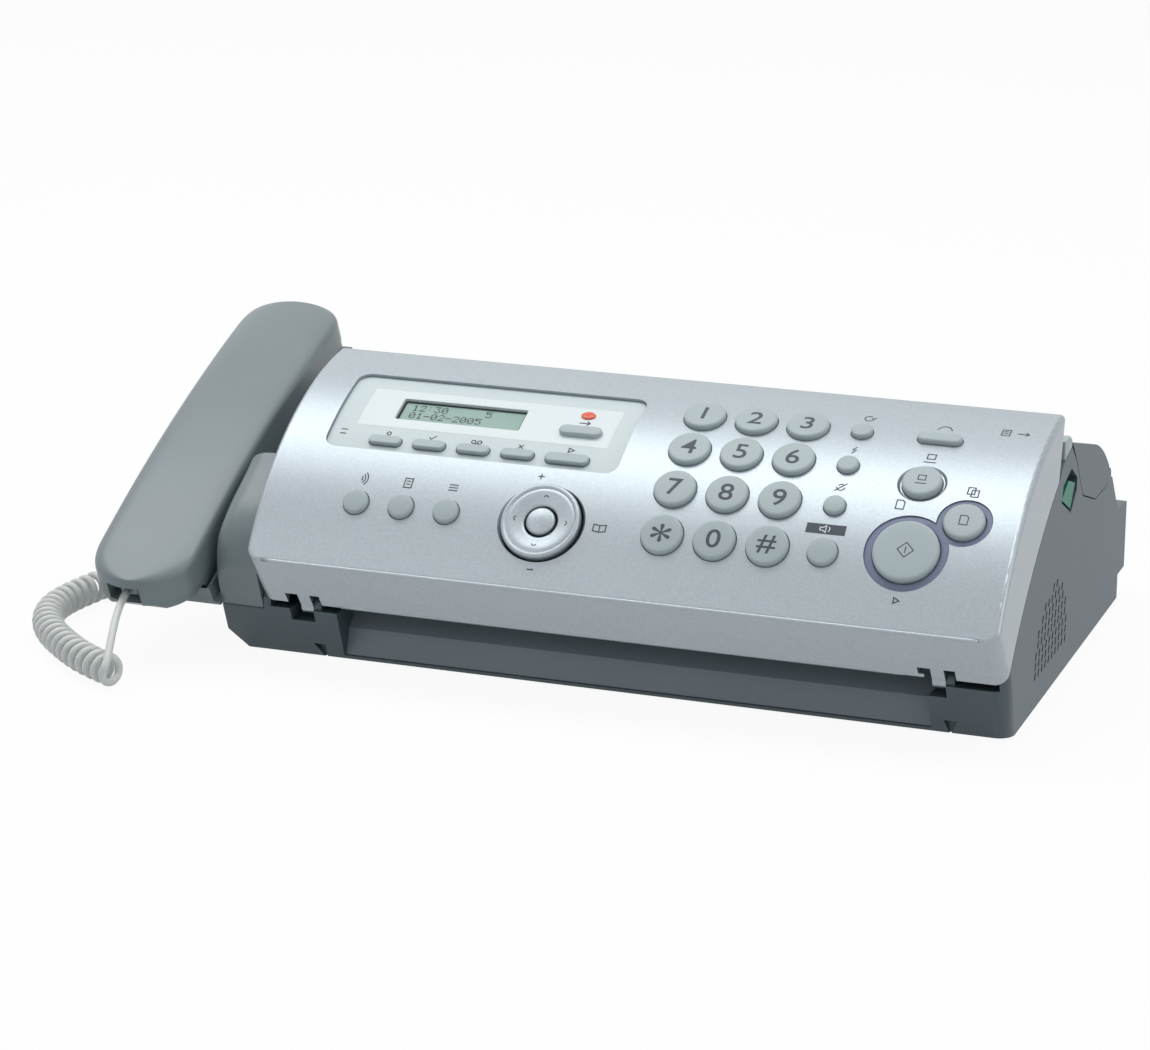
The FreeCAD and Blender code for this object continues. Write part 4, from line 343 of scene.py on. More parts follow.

# %% [markdown]
# Every solid of the model takes one of these finishes. The list is by the record's material slots, which
# also lets another scene repaint the machine. The sill shares the housing's slot but is drawn in a lighter
# grey.

# %% Finishes of the solid model
slot_finish = {
    # The dark_grey slot takes the ramp's grey, which is painted lighter to make up for shade.
    "housing_grey": housing_abs, "dark_grey": ramp_abs_painted_lighter, "cradle_grey": cradle_abs,
    "panel_silver": silver_lacquer, "bezel_grey": bezel_abs, "display_glass": ramp_abs_painted_lighter,
    "surround_blue": surround_abs, "key_grey": key_abs,
    "circuit_board": board_laminate, "lever_green": lever_abs, "roller_rubber": roller_rubber,
    "core_plastic": core_abs, "head_metal": head_aluminium, "motor_steel": motor_steel,
    "foot_rubber": foot_rubber, "cord_grey": core_abs, "plug_clear": plug_clear,
}
node_slot = {part["node"]: part["material_slot"] for part in frame["record"]["subparts"]}
for node, holder in frame["nodes"].items():
    holder.data.materials.clear()
    holder.data.materials.append(slot_finish[node_slot[node]])
frame["nodes"]["document_tray"].data.materials[0] = tray_abs
print("nodes with a finish:", len(frame["nodes"]))

# %% [markdown]
# A moulding tool is never cut to a knife edge, so every outer edge of the shells is a little round and
# catches a thin line of light. A small bevel draws that on the larger shells, once their loose triangles
# are welded.

# %% Softened edges
EDGE_MM = {"base_housing": 0.5, "back_cover": 0.5, "handset_inner_shell": 0.5, "start_key_surround": 0.3,
           "document_tray": 0.5}
SEAM_MM = 0.002
EDGE_ANGLE = 35            # degrees; a flatter edge stays as it is
for node, size in EDGE_MM.items():
    seams = frame["nodes"][node].modifiers.new("closed_seams", "WELD")
    seams.merge_threshold = SEAM_MM * MM
    soft = frame["nodes"][node].modifiers.new("soft_edges", "BEVEL")
    soft.width = size * MM
    soft.segments = 2
    soft.limit_method = "ANGLE"
    soft.angle_limit = np.radians(EDGE_ANGLE)
    soft.harden_normals = True
print("shells with soft edges:", len(EDGE_MM))

# %% [markdown]
# New pieces are grids of points. One function lists the quads between neighbours of a grid, and one turns
# points and faces into a mesh piece, closes its seams and poles, and turns its faces outward.

# %% Mesh helpers
JOIN_MM = 0.0005           # points closer than this become one point


def grid_faces(rows, columns, wrap_rows=False, wrap_columns=False):
    """Quads between neighbours of a grid of points that is kept row by row."""
    row, column = np.meshgrid(np.arange(rows if wrap_rows else rows - 1),
                              np.arange(columns if wrap_columns else columns - 1), indexing="ij")
    next_row, next_column = (row + 1) % rows, (column + 1) % columns
    quads = np.stack((row * columns + column, row * columns + next_column,
                      next_row * columns + next_column, next_row * columns + column), axis=-1)
    return quads.reshape(-1, 4).tolist()


def put_piece(name, points, faces, body, slot, finish, smooth=True):
    """Points in metres and faces become one closed mesh piece that rides on a body."""
    mesh = bpy.data.meshes.new(name)
    mesh.from_pydata(np.asarray(points).reshape(-1, 3).tolist(), [], faces)
    work = bmesh.new()
    work.from_mesh(mesh)
    bmesh.ops.remove_doubles(work, verts=work.verts, dist=JOIN_MM * MM)
    bmesh.ops.recalc_face_normals(work, faces=work.faces)
    work.to_mesh(mesh)
    work.free()
    mesh.polygons.foreach_set("use_smooth", np.full(len(mesh.polygons), smooth))
    mesh.materials.append(finish)
    piece = bpy.data.objects.new(name, mesh)
    scene.collection.objects.link(piece)
    if body:
        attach(piece, body)
    return piece


print("a 3 by 4 grid has", len(grid_faces(3, 4)), "quads")

# %% [markdown]
# The curly cord is one length of soft PVC wire, wound hot on a rod so that it keeps its curls. It leaves
# the plug in the handset's foot, drops to the desk, curls round in a loose bow, and runs back under the
# cradle to the jack on the base. Its route is a smooth spline. The helix turns round points read from that
# spline.

# %% Curls of the cord
CURL_RADIUS = 4.8 * MM
CURL_FLOOR = 6.7 * MM      # height of the line that the curls turn round
CURLS = 23
CURL_STEPS = 16
CURL_START_TURN = np.radians(40.0)
ROUTE_STEPS = 24
CURL_ROUTE = np.array(((-152.5, -134.0), (-168.0, -126.0), (-184.5, -112.5), (-200.0, -97.0), (-209.5, -78.5),
                       (-210.5, -58.0), (-205.5, -38.0))) * MM
UP = np.array((0.0, 0.0, 1.0))


def read_shape(holder):
    """The points and faces that an object shows; the object itself is then removed."""
    bpy.context.view_layer.update()
    mesh = bpy.data.meshes.new_from_object(holder.evaluated_get(bpy.context.evaluated_depsgraph_get()))
    read = np.empty(3 * len(mesh.vertices))
    mesh.vertices.foreach_get("co", read)
    faces = [list(polygon.vertices) for polygon in mesh.polygons]
    bpy.data.objects.remove(holder)
    bpy.data.meshes.remove(mesh)
    return read.reshape(-1, 3), faces


def spline_points(points, steps):
    """Points read from a smooth spline of order 3 whose control points are given, ends included."""
    curve = bpy.data.curves.new("cord_line", "CURVE")
    curve.dimensions = "3D"
    curve.resolution_u = steps
    spline = curve.splines.new("NURBS")
    spline.points.add(len(points) - 1)
    spline.points.foreach_set("co", np.column_stack((points, np.ones(len(points)))).ravel())
    spline.order_u = 3
    spline.use_endpoint_u = True
    holder = bpy.data.objects.new("cord_line", curve)
    scene.collection.objects.link(holder)
    read, _ = read_shape(holder)
    bpy.data.curves.remove(curve)
    return read


def along(points):
    """The distance from the start to each point of a line."""
    return np.concatenate(((0.0,), np.cumsum(np.linalg.norm(np.diff(points, axis=0), axis=1))))


bow = spline_points(np.column_stack((CURL_ROUTE, np.zeros(len(CURL_ROUTE)))), ROUTE_STEPS)
reach = along(bow)
station = np.linspace(0, 1, CURLS * CURL_STEPS + 1)
middle = np.stack([np.interp(station * reach[-1], reach, bow[:, i]) for i in range(3)], axis=1)
way = unit(np.gradient(middle, axis=0))
aside = np.stack((-way[:, 1], way[:, 0], np.zeros(len(way))), axis=1)
turn = (CURL_START_TURN + 2 * np.pi * CURLS * station)[:, None]
helix = middle + UP * (CURL_RADIUS * np.cos(turn) + CURL_FLOOR) + aside * CURL_RADIUS * np.sin(turn)
print("curls", CURLS, "over", round(reach[-1] / MM, 1), "mm")

# %% [markdown]
# A short lead from the handset and a longer one to the base join the helix into the cord's own spline. A
# tube also needs a direction that its rings are set by. Along the curls it is the way of the bow and along
# the lead to the base it is straight up, so that the rings never flip over.

# %% Line of the cord
CORD_STEPS = 3
HANDSET_LEAD = np.array(((-160.0, -104.9, 29.9), (-160.0, -112.2, 26.6), (-157.6, -123.5, 20.0))) * MM
BASE_LEAD = np.array(((-193.0, -10.0, 2.6), (-160.0, 20.0, 6.0), (-145.0, 25.0, 12.0), (-137.6, 25.0, 12.5),
                      (-134.6, 25.0, 12.5))) * MM
cord_line = spline_points(np.concatenate((HANDSET_LEAD, helix, BASE_LEAD)), CORD_STEPS)
lead_way = np.tile(way[0], (len(HANDSET_LEAD), 1))
base_way = np.tile(UP, (len(BASE_LEAD), 1))
cord_reference = spline_points(np.concatenate((lead_way, way, base_way)), CORD_STEPS)

# %% [markdown]
# PVC for such a cord is soft and slightly glossy, and it was drawn through a die, so it is smooth along its
# length. Dust and handling leave it a little darker in places, drawn here as faint blotches of about 6 mm.

# %% Soft PVC
BLOTCH_MM = 6.0
CORD_DULL = (0.34, 0.46)
cord_pvc, tree, output = blank("pvc_soft_drawn")
place = add(tree, "ShaderNodeTexCoord").outputs["Object"]
blotches = add(tree, "ShaderNodeTexNoise", {"Scale": 1 / (BLOTCH_MM * MM), "Detail": 2.0}, {"Vector": place})
tint = add(tree, "ShaderNodeValToRGB", links={"Fac": blotches.outputs["Fac"]})
tint.color_ramp.elements[0].color = linear("#cfd2d0")
tint.color_ramp.elements[1].color = linear("#dfe1df")
dull = add(tree, "ShaderNodeMapRange", {"To Min": CORD_DULL[0], "To Max": CORD_DULL[1]},
           {"Value": blotches.outputs["Fac"]})
shader = add(tree, "ShaderNodeBsdfPrincipled", {"IOR": PLASTIC_IOR},
             {"Base Color": tint.outputs["Color"], "Roughness": dull.outputs["Result"]})
tree.links.new(shader.outputs["BSDF"], output.inputs["Surface"])
print("cord:", cord_pvc.name)

# %% [markdown]
# The wire is round, so a ring of points follows the line as a tube. One end lies at the handset and the
# other at the base, and the tube is one still piece that rides on neither.

# %% Cord tube
CORD_DIAMETER = 3.0 * MM
CORD_SIDES = 12


def capped_faces(rows, columns):
    """Quads of a grid whose columns close into rings, and one face over each end ring."""
    ends = np.arange(rows * columns).reshape(rows, columns)[[0, -1]]
    return grid_faces(rows, columns, wrap_columns=True) + ends.tolist()


def tube(line, reference, radius, sides):
    """A ring of points carried along a line. Each ring is square to the line: its first axis is the line's
    heading crossed with a reference direction, and its second is square to both."""
    heading = unit(np.gradient(line, axis=0))
    across = unit(np.cross(heading, reference))
    over = np.cross(heading, across)
    angle = np.linspace(0, 2 * np.pi, sides, endpoint=False)[:, None]
    ring = across[:, None] * np.cos(angle) + over[:, None] * np.sin(angle)
    return line[:, None] + radius * ring, capped_faces(len(line), sides)


wire = tube(cord_line, cord_reference, CORD_DIAMETER / 2, CORD_SIDES)
cord = put_piece("curly_cord", *wire, None, "cord_grey", cord_pvc)
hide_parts("handset_cord")
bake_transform(cord)
print("cord tube of", len(cord.data.polygons), "faces")

# %% [markdown]
# The operation panel is part of a cylinder. A place on it is a distance across and an angle from the top,
# and a small piece there has three directions: across, up the slope, and straight out. One function sets a
# flat piece, such as a key, square to the curve. Another wraps a print round it.

# %% Places on the panel
PANEL_RADIUS = 123.0
PANEL_AXIS = (6.5, -17.5)


def on_panel(x, angle, points):
    """Points (across, up, out) in mm, set flat on the panel's tangent at an angle, in metres."""
    across, up, out = np.moveaxis(np.asarray(points, float), -1, 0)
    tilt = np.radians(angle)
    y = PANEL_AXIS[0] - (PANEL_RADIUS + out) * np.sin(tilt) + up * np.cos(tilt)
    z = PANEL_AXIS[1] + (PANEL_RADIUS + out) * np.cos(tilt) + up * np.sin(tilt)
    return np.stack((x + across, y, z), axis=-1) * MM


def round_panel(x, angle, points):
    """Points (across, up, out) in mm, wrapped round the panel: going up lessens the angle by its arc."""
    across, up, out = np.moveaxis(np.asarray(points, float), -1, 0)
    tilt = np.radians(angle) - up / PANEL_RADIUS
    y = PANEL_AXIS[0] - (PANEL_RADIUS + out) * np.sin(tilt)
    z = PANEL_AXIS[1] + (PANEL_RADIUS + out) * np.cos(tilt)
    return np.stack((x + across, y, z), axis=-1) * MM


print("top of the panel's cylinder:", np.round(on_panel(0, 0, (0, 0, 0)) / MM, 1), "mm")

# %% [markdown]
# The cradle is one moulding: a low cheek between the handset and the panel, scooped out so that fingers
# reach round the handset, and a wing that the handset lies on. The cheek is a section carried along a line.
# Its height is a radius about the panel's axis that falls away in two smooth steps behind a rolled nose.

# %% Line of the cheek
CHEEK_FOOT, CHEEK_TAIL = np.array((-82.0, 20.0)), np.array((66.0, 20.0))
NOSE_RADIUS, NOSE_ANGLE, REAR_ANGLE = 117.0, 57.0, 6.0
DIP_DEPTH, DIP_ANGLE, DIP_RUN = 5, 52, 16            # a gentle fall behind the nose
SCOOP_DEPTH, SCOOP_ANGLE, SCOOP_RUN = 32, 35, 7      # the scoop for the fingers
NOSE_ROLL, NOSE_GAP = 11.0, 0.5                      # the roll, and a gap behind it
NOSE_STEPS = 8                                       # steps along the top that give the roll its direction
CHEEK_STEPS, ROLL_STEPS = 70, 12
CHEEK_REAR = ((45.6, 50.0), (CHEEK_TAIL[0], 40.0))


def smooth_step(value):
    """0 below 0, 1 above 1, and between them 3 v squared less 2 v cubed."""
    value = np.clip(value, 0, 1)
    return value * value * (3 - 2 * value)


angle = np.linspace(NOSE_ANGLE, REAR_ANGLE, CHEEK_STEPS)
dip = DIP_DEPTH * smooth_step((DIP_ANGLE - angle) / DIP_RUN)
scoop = SCOOP_DEPTH * smooth_step((SCOOP_ANGLE - angle) / SCOOP_RUN)
radius = NOSE_RADIUS - dip - scoop
turn = np.radians(angle)
crest = np.column_stack((PANEL_AXIS[0] - radius * np.sin(turn), PANEL_AXIS[1] + radius * np.cos(turn)))
nose = crest[0]
backward, downward = unit(crest[NOSE_STEPS] - nose), unit(CHEEK_FOOT - nose)
roll = np.linspace(np.pi / 2, 0, ROLL_STEPS)[:, None]
roll_line = nose + NOSE_ROLL * ((1 - np.sin(roll)) * backward + (1 - np.cos(roll)) * downward)
behind_roll = crest[np.linalg.norm(crest - nose, axis=1) > NOSE_ROLL + NOSE_GAP]
top_line = np.concatenate((roll_line, behind_roll, CHEEK_REAR))
print("cheek's line of", len(top_line), "points; height at the rear", round(float(top_line[-3, 1]), 1), "mm")

# %% [markdown]
# Every section of the cheek reaches from its foot to this line. The edge beside the handset is rounded
# over, and the other edge stays square, because the panel's end stands against it.

# %% Cradle cheek
CHEEK_X = (-131.6, -114.5)
CHEEK_ROUND, BEND_STEPS = 9.0, 6
share = np.linspace(0, 1, len(top_line) - ROLL_STEPS + 1)[1:]
share = np.concatenate((np.zeros(ROLL_STEPS), share))[:, None]
foot_line = CHEEK_FOOT * (1 - share) + CHEEK_TAIL * share
inward = unit(foot_line - top_line)
bend = np.linspace(0, np.pi / 2, BEND_STEPS)
rounded = CHEEK_X[0] + CHEEK_ROUND * (1 - np.cos(bend))
column_x = np.concatenate((CHEEK_X[:1], rounded, CHEEK_X[1:], CHEEK_X[1:]))
column_drop = np.concatenate(((0.0,), CHEEK_ROUND * (1 - np.sin(bend)), (0.0, 0.0)))
section = top_line[:, None] + inward[:, None] * column_drop[None, :, None]
section[:, [0, -1]] = foot_line[:, None]
cheek_x = np.broadcast_to(column_x[None, :, None], (*section.shape[:2], 1))
cheek = np.concatenate((cheek_x, section), axis=-1) * MM
print("cheek of", len(cheek), "sections with", len(column_x), "points each")

# %% [markdown]
# The wing is worked out in the handset's own frame, along its length, and then tilted with it. Its top lies
# under the handset, with a well each for the mouthpiece and the earpiece and a slot for the hook switch. A
# low ledge joins it to the cheek. Two points that almost touch draw an upright wall.

# %% Cradle wing
HANDSET_FOOT = np.array((-156.5, -112.0, 33.5))
HANDSET_TILT = np.radians(24.1)
WING_SIDES, WING_TOP, WING_END = (-18.0, 24.9), -15.5, 172.0
WING_UNDER = (-24.5, -32.0)                          # underside at the foot and at the far end
WELL_SIDES = (-16.6, 20.7)
MOUTH_WELL, MOUTH_FLOOR = (19.5, 24.0, 53.0, 57.0), -22.3    # along: top, floor, floor and top again
EAR_WELL, EAR_FLOOR = (119.0, 125.0, 169.0, 171.0), -27.3
LEDGE_X, LEDGE_HIGH = (22.0, 22.5), 2.5
HOOK_HALF, HOOK_ALONG, HOOK_FLOOR = 3.3, 112.0, -24.0
WALL, HOOK_WALL = 0.1, 0.05                          # how far an upright wall leans
SHARP_ANGLE = 30                                     # degrees; a stronger bend shows as an edge


def from_handset(points):
    """Points of the handset's own frame in mm, laid in the cradle, in metres."""
    x, y, z = np.moveaxis(points, -1, 0)
    laid = np.stack((x, y * np.cos(HANDSET_TILT) - z * np.sin(HANDSET_TILT),
                     y * np.sin(HANDSET_TILT) + z * np.cos(HANDSET_TILT)), axis=-1)
    return (laid + HANDSET_FOOT) * MM


def joined(parts):
    """Several (points, faces) parts as one."""
    clouds = [np.asarray(points).reshape(-1, 3) for points, _ in parts]
    starts = np.cumsum([0] + [len(cloud) for cloud in clouds])
    faces = [(np.array(face) + start).tolist() for (_, part), start in zip(parts, starts) for face in part]
    return np.concatenate(clouds), faces


hook_ends = HOOK_ALONG + np.array((-HOOK_HALF - HOOK_WALL, -HOOK_HALF, HOOK_HALF, HOOK_HALF + HOOK_WALL))
crisp_bends = np.array(MOUTH_WELL[:2]) + WALL        # a second station close by keeps a bend crisp
station = np.sort(np.concatenate((MOUTH_WELL, crisp_bends, hook_ends, EAR_WELL, (WING_END,))))
well_depths = (WING_TOP, MOUTH_FLOOR, MOUTH_FLOOR, WING_TOP, WING_TOP, EAR_FLOOR, EAR_FLOOR, WING_TOP)
well = np.interp(station, MOUTH_WELL + EAR_WELL, well_depths)
hook = np.where(np.abs(station - HOOK_ALONG) < HOOK_HALF + HOOK_WALL / 2, HOOK_FLOOR, well)
under = np.interp(station, (MOUTH_WELL[0], WING_END), WING_UNDER)
ledge = under + LEDGE_HIGH
flat = np.full(len(station), WING_TOP)
wing_x = np.array((WING_SIDES[0], WING_SIDES[0], WELL_SIDES[0] - WALL, WELL_SIDES[0],
                   -HOOK_HALF - HOOK_WALL, -HOOK_HALF, HOOK_HALF, HOOK_HALF + HOOK_WALL,
                   WELL_SIDES[1], WELL_SIDES[1] + WALL, *LEDGE_X, WING_SIDES[1], WING_SIDES[1]))
wing_z = np.stack((under, flat, flat, well, well, hook, hook, well, well, flat, flat, ledge, ledge, under),
                  axis=1)
wing_y = np.broadcast_to(station[:, None], wing_z.shape)
wing = from_handset(np.stack((np.broadcast_to(wing_x, wing_z.shape), wing_y, wing_z), axis=-1))
wing[..., 2] = np.maximum(wing[..., 2], CHEEK_FOOT[1] * MM)
cradle_parts = joined([(part, capped_faces(*part.shape[:2])) for part in (cheek, wing)])
cradle = put_piece("cradle_shell", *cradle_parts, "base", "cradle_grey", cradle_abs)
cradle.data.set_sharp_from_angle(angle=np.radians(SHARP_ANGLE))
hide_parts("handset_cradle")
print("cradle faces:", len(cradle.data.polygons))

# %% [markdown]
# The handset's outer shell is bowed along its length and crowned across, with a rounded head and foot, so
# that it sits well in the hand. Its section is half of a superellipse on two upright side walls, and the
# half width follows another superellipse at each end.

# %% Handset shell
HANDSET_LENGTH, HANDSET_HALF, HANDSET_SIDE = 176.0, 21.0, 10.0
HANDSET_BOW, HANDSET_CROWN, EDGE_FALL = 5.2, 2.6, 3.4
FOOT_RUN, FOOT_ROUND, HEAD_RUN, HEAD_ROUND, SECTION_ROUND = 21.0, 2.3, 24.0, 4.0, 3.6
RIM_SHARE, RIM_HIGH = 0.98, 0.2                      # a narrow rim under the side walls
SHELL_STATIONS, SHELL_TURNS = 97, 41


def end_width(distance, run, power):
    """Share of the full width at a distance from an end: a superellipse over the run, then 1."""
    return (1 - np.clip(1 - distance / run, 0, 1) ** power) ** (1 / power)


station = HANDSET_LENGTH * (1 - np.cos(np.linspace(0, np.pi, SHELL_STATIONS))) / 2
to_foot = end_width(station, FOOT_RUN, FOOT_ROUND)
to_head = end_width(HANDSET_LENGTH - station, HEAD_RUN, HEAD_ROUND)
half = HANDSET_HALF * to_foot * to_head
bow_rise = HANDSET_BOW * (1 - (2 * station / HANDSET_LENGTH - 1) ** 2)
turn = np.linspace(0, np.pi, SHELL_TURNS)
across = np.sign(np.cos(turn)) * np.abs(np.cos(turn)) ** (2 / SECTION_ROUND)
rise = np.clip(np.sin(turn), 0, 1) ** (2 / SECTION_ROUND)
top = (bow_rise - EDGE_FALL)[:, None] + (EDGE_FALL + HANDSET_CROWN) * rise
low = np.full((len(station), 1), -HANDSET_SIDE)
shell_x = half[:, None] * np.concatenate(((RIM_SHARE, 1.0, 1.0), across, (-1.0, -1.0, -RIM_SHARE)))
shell_z = np.concatenate((low, low, low + RIM_HIGH, top, low + RIM_HIGH, low, low), axis=1)
shell_y = np.broadcast_to(station[:, None], shell_x.shape)
shell = from_handset(np.stack((shell_x, shell_y, shell_z), axis=-1))
shell_faces = grid_faces(*shell_x.shape, wrap_columns=True)
handset = put_piece("handset_shell", shell, shell_faces, "handset", "cradle_grey", cradle_abs)
print("handset shell:", len(handset.data.polygons), "faces before the jack is opened")

# %% [markdown]
# In the tool a small block of steel keeps the plug's opening free in the handset's foot. Here a block cuts
# it, and the cut mesh takes the place of the whole one, so that no modifier has to follow the handset.

# %% Jack opening
JACK_X, JACK_Y, JACK_Z = (-10.5, 3.5), (-1.0, 14.0), (-10.4, -1.9)
JACK_SHARP = 40                                      # degrees
BLOCK_FACES = ((0, 1, 3, 2), (4, 6, 7, 5), (0, 4, 5, 1), (2, 3, 7, 6), (0, 2, 6, 4), (1, 5, 7, 3))
corners = np.stack(np.meshgrid(JACK_X, JACK_Y, JACK_Z, indexing="ij"), axis=-1).reshape(-1, 3)
cutter_mesh = bpy.data.meshes.new("jack_cutter")
cutter_mesh.from_pydata(from_handset(corners).tolist(), [], BLOCK_FACES)
cutter = bpy.data.objects.new("jack_cutter", cutter_mesh)
scene.collection.objects.link(cutter)
cut = handset.modifiers.new("jack_opening", "BOOLEAN")
cut.object = cutter
bpy.context.view_layer.update()
opened = bpy.data.meshes.new_from_object(handset.evaluated_get(bpy.context.evaluated_depsgraph_get()))
handset.modifiers.clear()
handset.data = opened
bpy.data.objects.remove(cutter)
opened.set_sharp_from_angle(angle=np.radians(JACK_SHARP))
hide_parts("handset_outer_shell")
print("handset shell:", len(opened.polygons), "faces")

# %% [markdown]
# The operation panel turns under in a crease, and its skirt ends in a rounded lip over the paper's way out.
# Both edges are rolled a little proud, and catch the light as thin lines. Each is a fine bar carried along
# the width.

# %% Crease and lip of the panel
EDGE_STEPS, EDGE_SIDES = 60, 12
rolled_edges = {"panel_crease": ((-107.0, 170.0), (-98.95, 45.35), 0.75),
                "skirt_lip": ((-82.0, 147.0), (-83.7, 25.2), 0.9)}
for name, (span, (y, z), radius) in rolled_edges.items():
    run = np.linspace(*span, EDGE_STEPS)
    line = np.column_stack((run, np.full(EDGE_STEPS, y), np.full(EDGE_STEPS, z))) * MM
    bar = tube(line, np.tile(UP, (EDGE_STEPS, 1)), radius * MM, EDGE_SIDES)
    put_piece(name, *bar, "cover", "panel_silver", silver_lacquer)
print("rolled edges:", len(rolled_edges))

# %% [markdown]
# Each key is a small ABS cap with a flat, slightly crowned top and a rolled rim, so that a finger slides
# off it softly. A cap's outline is a stadium: two half circles and the straight run between them, or a
# plain circle where the run is nought. The outline is drawn in along a section that goes up the wall, round
# the rim and over the crown.

# %% Shape of a key cap
CAP_STEPS, RIM_STEPS, CROWN_STEPS = 48, 6, 4
WALL_DEPTH = 3.0
NEARLY_NOUGHT = 1e-9


def cap(length, width, top, rim, crown, tilt=0.0):
    """Points and faces of a cap. Ring i is the stadium drawn in by inset i at height i; the rim is a quarter
    circle and the crown a parabola. tilt lowers the side that is up the slope, in mm for each mm."""
    radius = width / 2
    run = (length - width) / 2
    bend = np.linspace(0, np.pi / 2, RIM_STEPS)
    inward = np.linspace(0, 1, CROWN_STEPS + 1)[1:]
    inset = np.concatenate(((radius, 0.0), rim * (1 - np.cos(bend)), rim + (radius - rim) * inward))
    shoulder = top - crown
    height = np.concatenate(((-WALL_DEPTH, -WALL_DEPTH), shoulder - rim * (1 - np.sin(bend)),
                             shoulder + crown * (1 - (1 - inward) ** 2)))
    angle = np.arange(CAP_STEPS) * 2 * np.pi / CAP_STEPS
    end = np.where(np.cos(angle) > -NEARLY_NOUGHT, run, -run)
    reach = (radius - inset)[:, None]
    across = end + reach * np.cos(angle)
    up = reach * np.sin(angle)
    out = height[:, None] - tilt * up * (height > -WALL_DEPTH)[:, None]
    points = np.stack((across, up, out + 0 * across), axis=-1)
    return points, grid_faces(len(inset), CAP_STEPS, wrap_columns=True)


print("a cap has", len(cap(16.0, 16.0, 2.2, 1.15, 0.2)[1]), "faces")

# %% [markdown]
# The number keys stand in three columns and four rows. Smaller keys stand to their right, and others under
# and in the display frame. Each has its place, across and in degrees, and its shape: length, width, top,
# rim, crown, and for the flat keys of the frame a tilt that sinks their upper side.

# %% Key caps
KEY_TOP, MAIN_TOP, FRAME_KEY_TOP = 2.2, 1.7, 0.45
NUMBER_X = (47.0, 67.1, 87.2)
SMALL_X = 107.9
ROW_ANGLES = (19.3, 28.4, 37.6, 46.8)
FRAME_KEY_ANGLE, FRAME_KEY_TILT = 33.0, 0.15
MENU_X, MENU_PITCH = -74.5, 18.25
FRAME_KEY_X, FRAME_KEY_PITCH = -72.2, 17.9
NAVIGATOR_PLACE = (-0.2, ROW_ANGLES[3])
number_keys = (("key_1", "key_2", "key_3"), ("key_4", "key_5", "key_6"), ("key_7", "key_8", "key_9"),
               ("key_star", "key_0", "key_hash"))
small_keys = ("redial_key", "flash_key", "mute_key")
menu_keys = ("broadcast_key", "report_key", "menu_key")
frame_keys = ("greeting_rec_key", "greeting_check_key", "memo_key", "erase_key")
key_places = {}
key_shapes = {}
for names, angle in zip(number_keys, ROW_ANGLES):
    key_places.update({name: (x, angle) for name, x in zip(names, NUMBER_X)})
    key_shapes.update({name: (16.0, 16.0, KEY_TOP, 1.15, 0.2) for name in names})
for name, angle in zip(small_keys, ROW_ANGLES):
    key_places[name] = (SMALL_X, angle)
    key_shapes[name] = (8.2, 8.2, KEY_TOP, 1.0, 0.25)
for i, name in enumerate(menu_keys):
    key_places[name] = (MENU_X + MENU_PITCH * i, ROW_ANGLES[3])
    key_shapes[name] = (10.0, 10.0, KEY_TOP, 1.1, 0.25)
for i, name in enumerate(frame_keys):
    key_places[name] = (FRAME_KEY_X + FRAME_KEY_PITCH * i, FRAME_KEY_ANGLE)
    key_shapes[name] = (13.2, 4.6, FRAME_KEY_TOP, 0.7, 0.1, FRAME_KEY_TILT)
single_keys = {
    "speakerphone_key": ((SMALL_X, ROW_ANGLES[3]), (11.2, 11.2, KEY_TOP, 1.1, 0.25)),
    "caller_id_key": ((137.5, ROW_ANGLES[0]), (17.0, 5.8, KEY_TOP, 1.0, 0.15)),
    "stop_key": ((137.0, 30.7), (14.8, 14.8, KEY_TOP, 1.2, 0.2)),
    "start_key": ((138.1, 45.0), (24.6, 24.6, MAIN_TOP, 1.3, 0.1)),
    "copy_key": ((156.4, 38.2), (15.4, 15.4, MAIN_TOP, 1.2, 0.1)),
    "set_key": (NAVIGATOR_PLACE, (11.2, 11.2, KEY_TOP, 1.2, 0.5)),
    "playback_key": ((1.4, FRAME_KEY_ANGLE), (17.4, 5.2, FRAME_KEY_TOP, 0.7, 0.1, FRAME_KEY_TILT)),
    "auto_answer_key": ((2.1, 26.0), (17.0, 5.6, FRAME_KEY_TOP, 0.7, 0.1, FRAME_KEY_TILT)),
}
key_places.update({name: place for name, (place, _) in single_keys.items()})
key_shapes.update({name: shape for name, (_, shape) in single_keys.items()})
for name, (x, angle) in key_places.items():
    points, faces = cap(*key_shapes[name])
    finish = silver_lacquer if name == "set_key" else key_abs
    piece = put_piece(name + "_cap", on_panel(x, angle, points), faces, "b_" + name, "key_grey", finish)
    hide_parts(name)
print("key caps:", len(key_places))

# %% [markdown]
# The navigator is a silver ring that rocks round the middle key. Its face is a shallow dish with a rolled
# outer rim and a fine groove inside the rim. It is a section turned round an axis, as on a lathe.

# %% Navigator ring
RING_STEPS = 72
ring_section = np.array(((6.3, -3.0), (15.3, -3.0), (15.3, 1.2), (15.1, 1.75), (14.7, 2.1), (14.2, 2.2),
                         (13.7, 2.1), (13.4, 1.85), (13.25, 1.6), (13.1, 1.6), (12.8, 1.8), (11.5, 1.72),
                         (9.8, 1.4), (8.2, 1.05), (7.3, 0.95), (6.7, 0.8), (6.4, 0.4), (6.3, -0.4)))
angle = np.linspace(0, 2 * np.pi, RING_STEPS, endpoint=False)
ring_points = np.stack((ring_section[:, :1] * np.cos(angle), ring_section[:, :1] * np.sin(angle),
                        ring_section[:, 1:] + 0 * angle), axis=-1)
ring_faces = grid_faces(len(ring_section), RING_STEPS, True, True)
navigator = put_piece("navigator_dish", on_panel(*NAVIGATOR_PLACE, ring_points), ring_faces,
                      "navigator", "panel_silver", silver_lacquer)
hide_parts("navigator_ring")
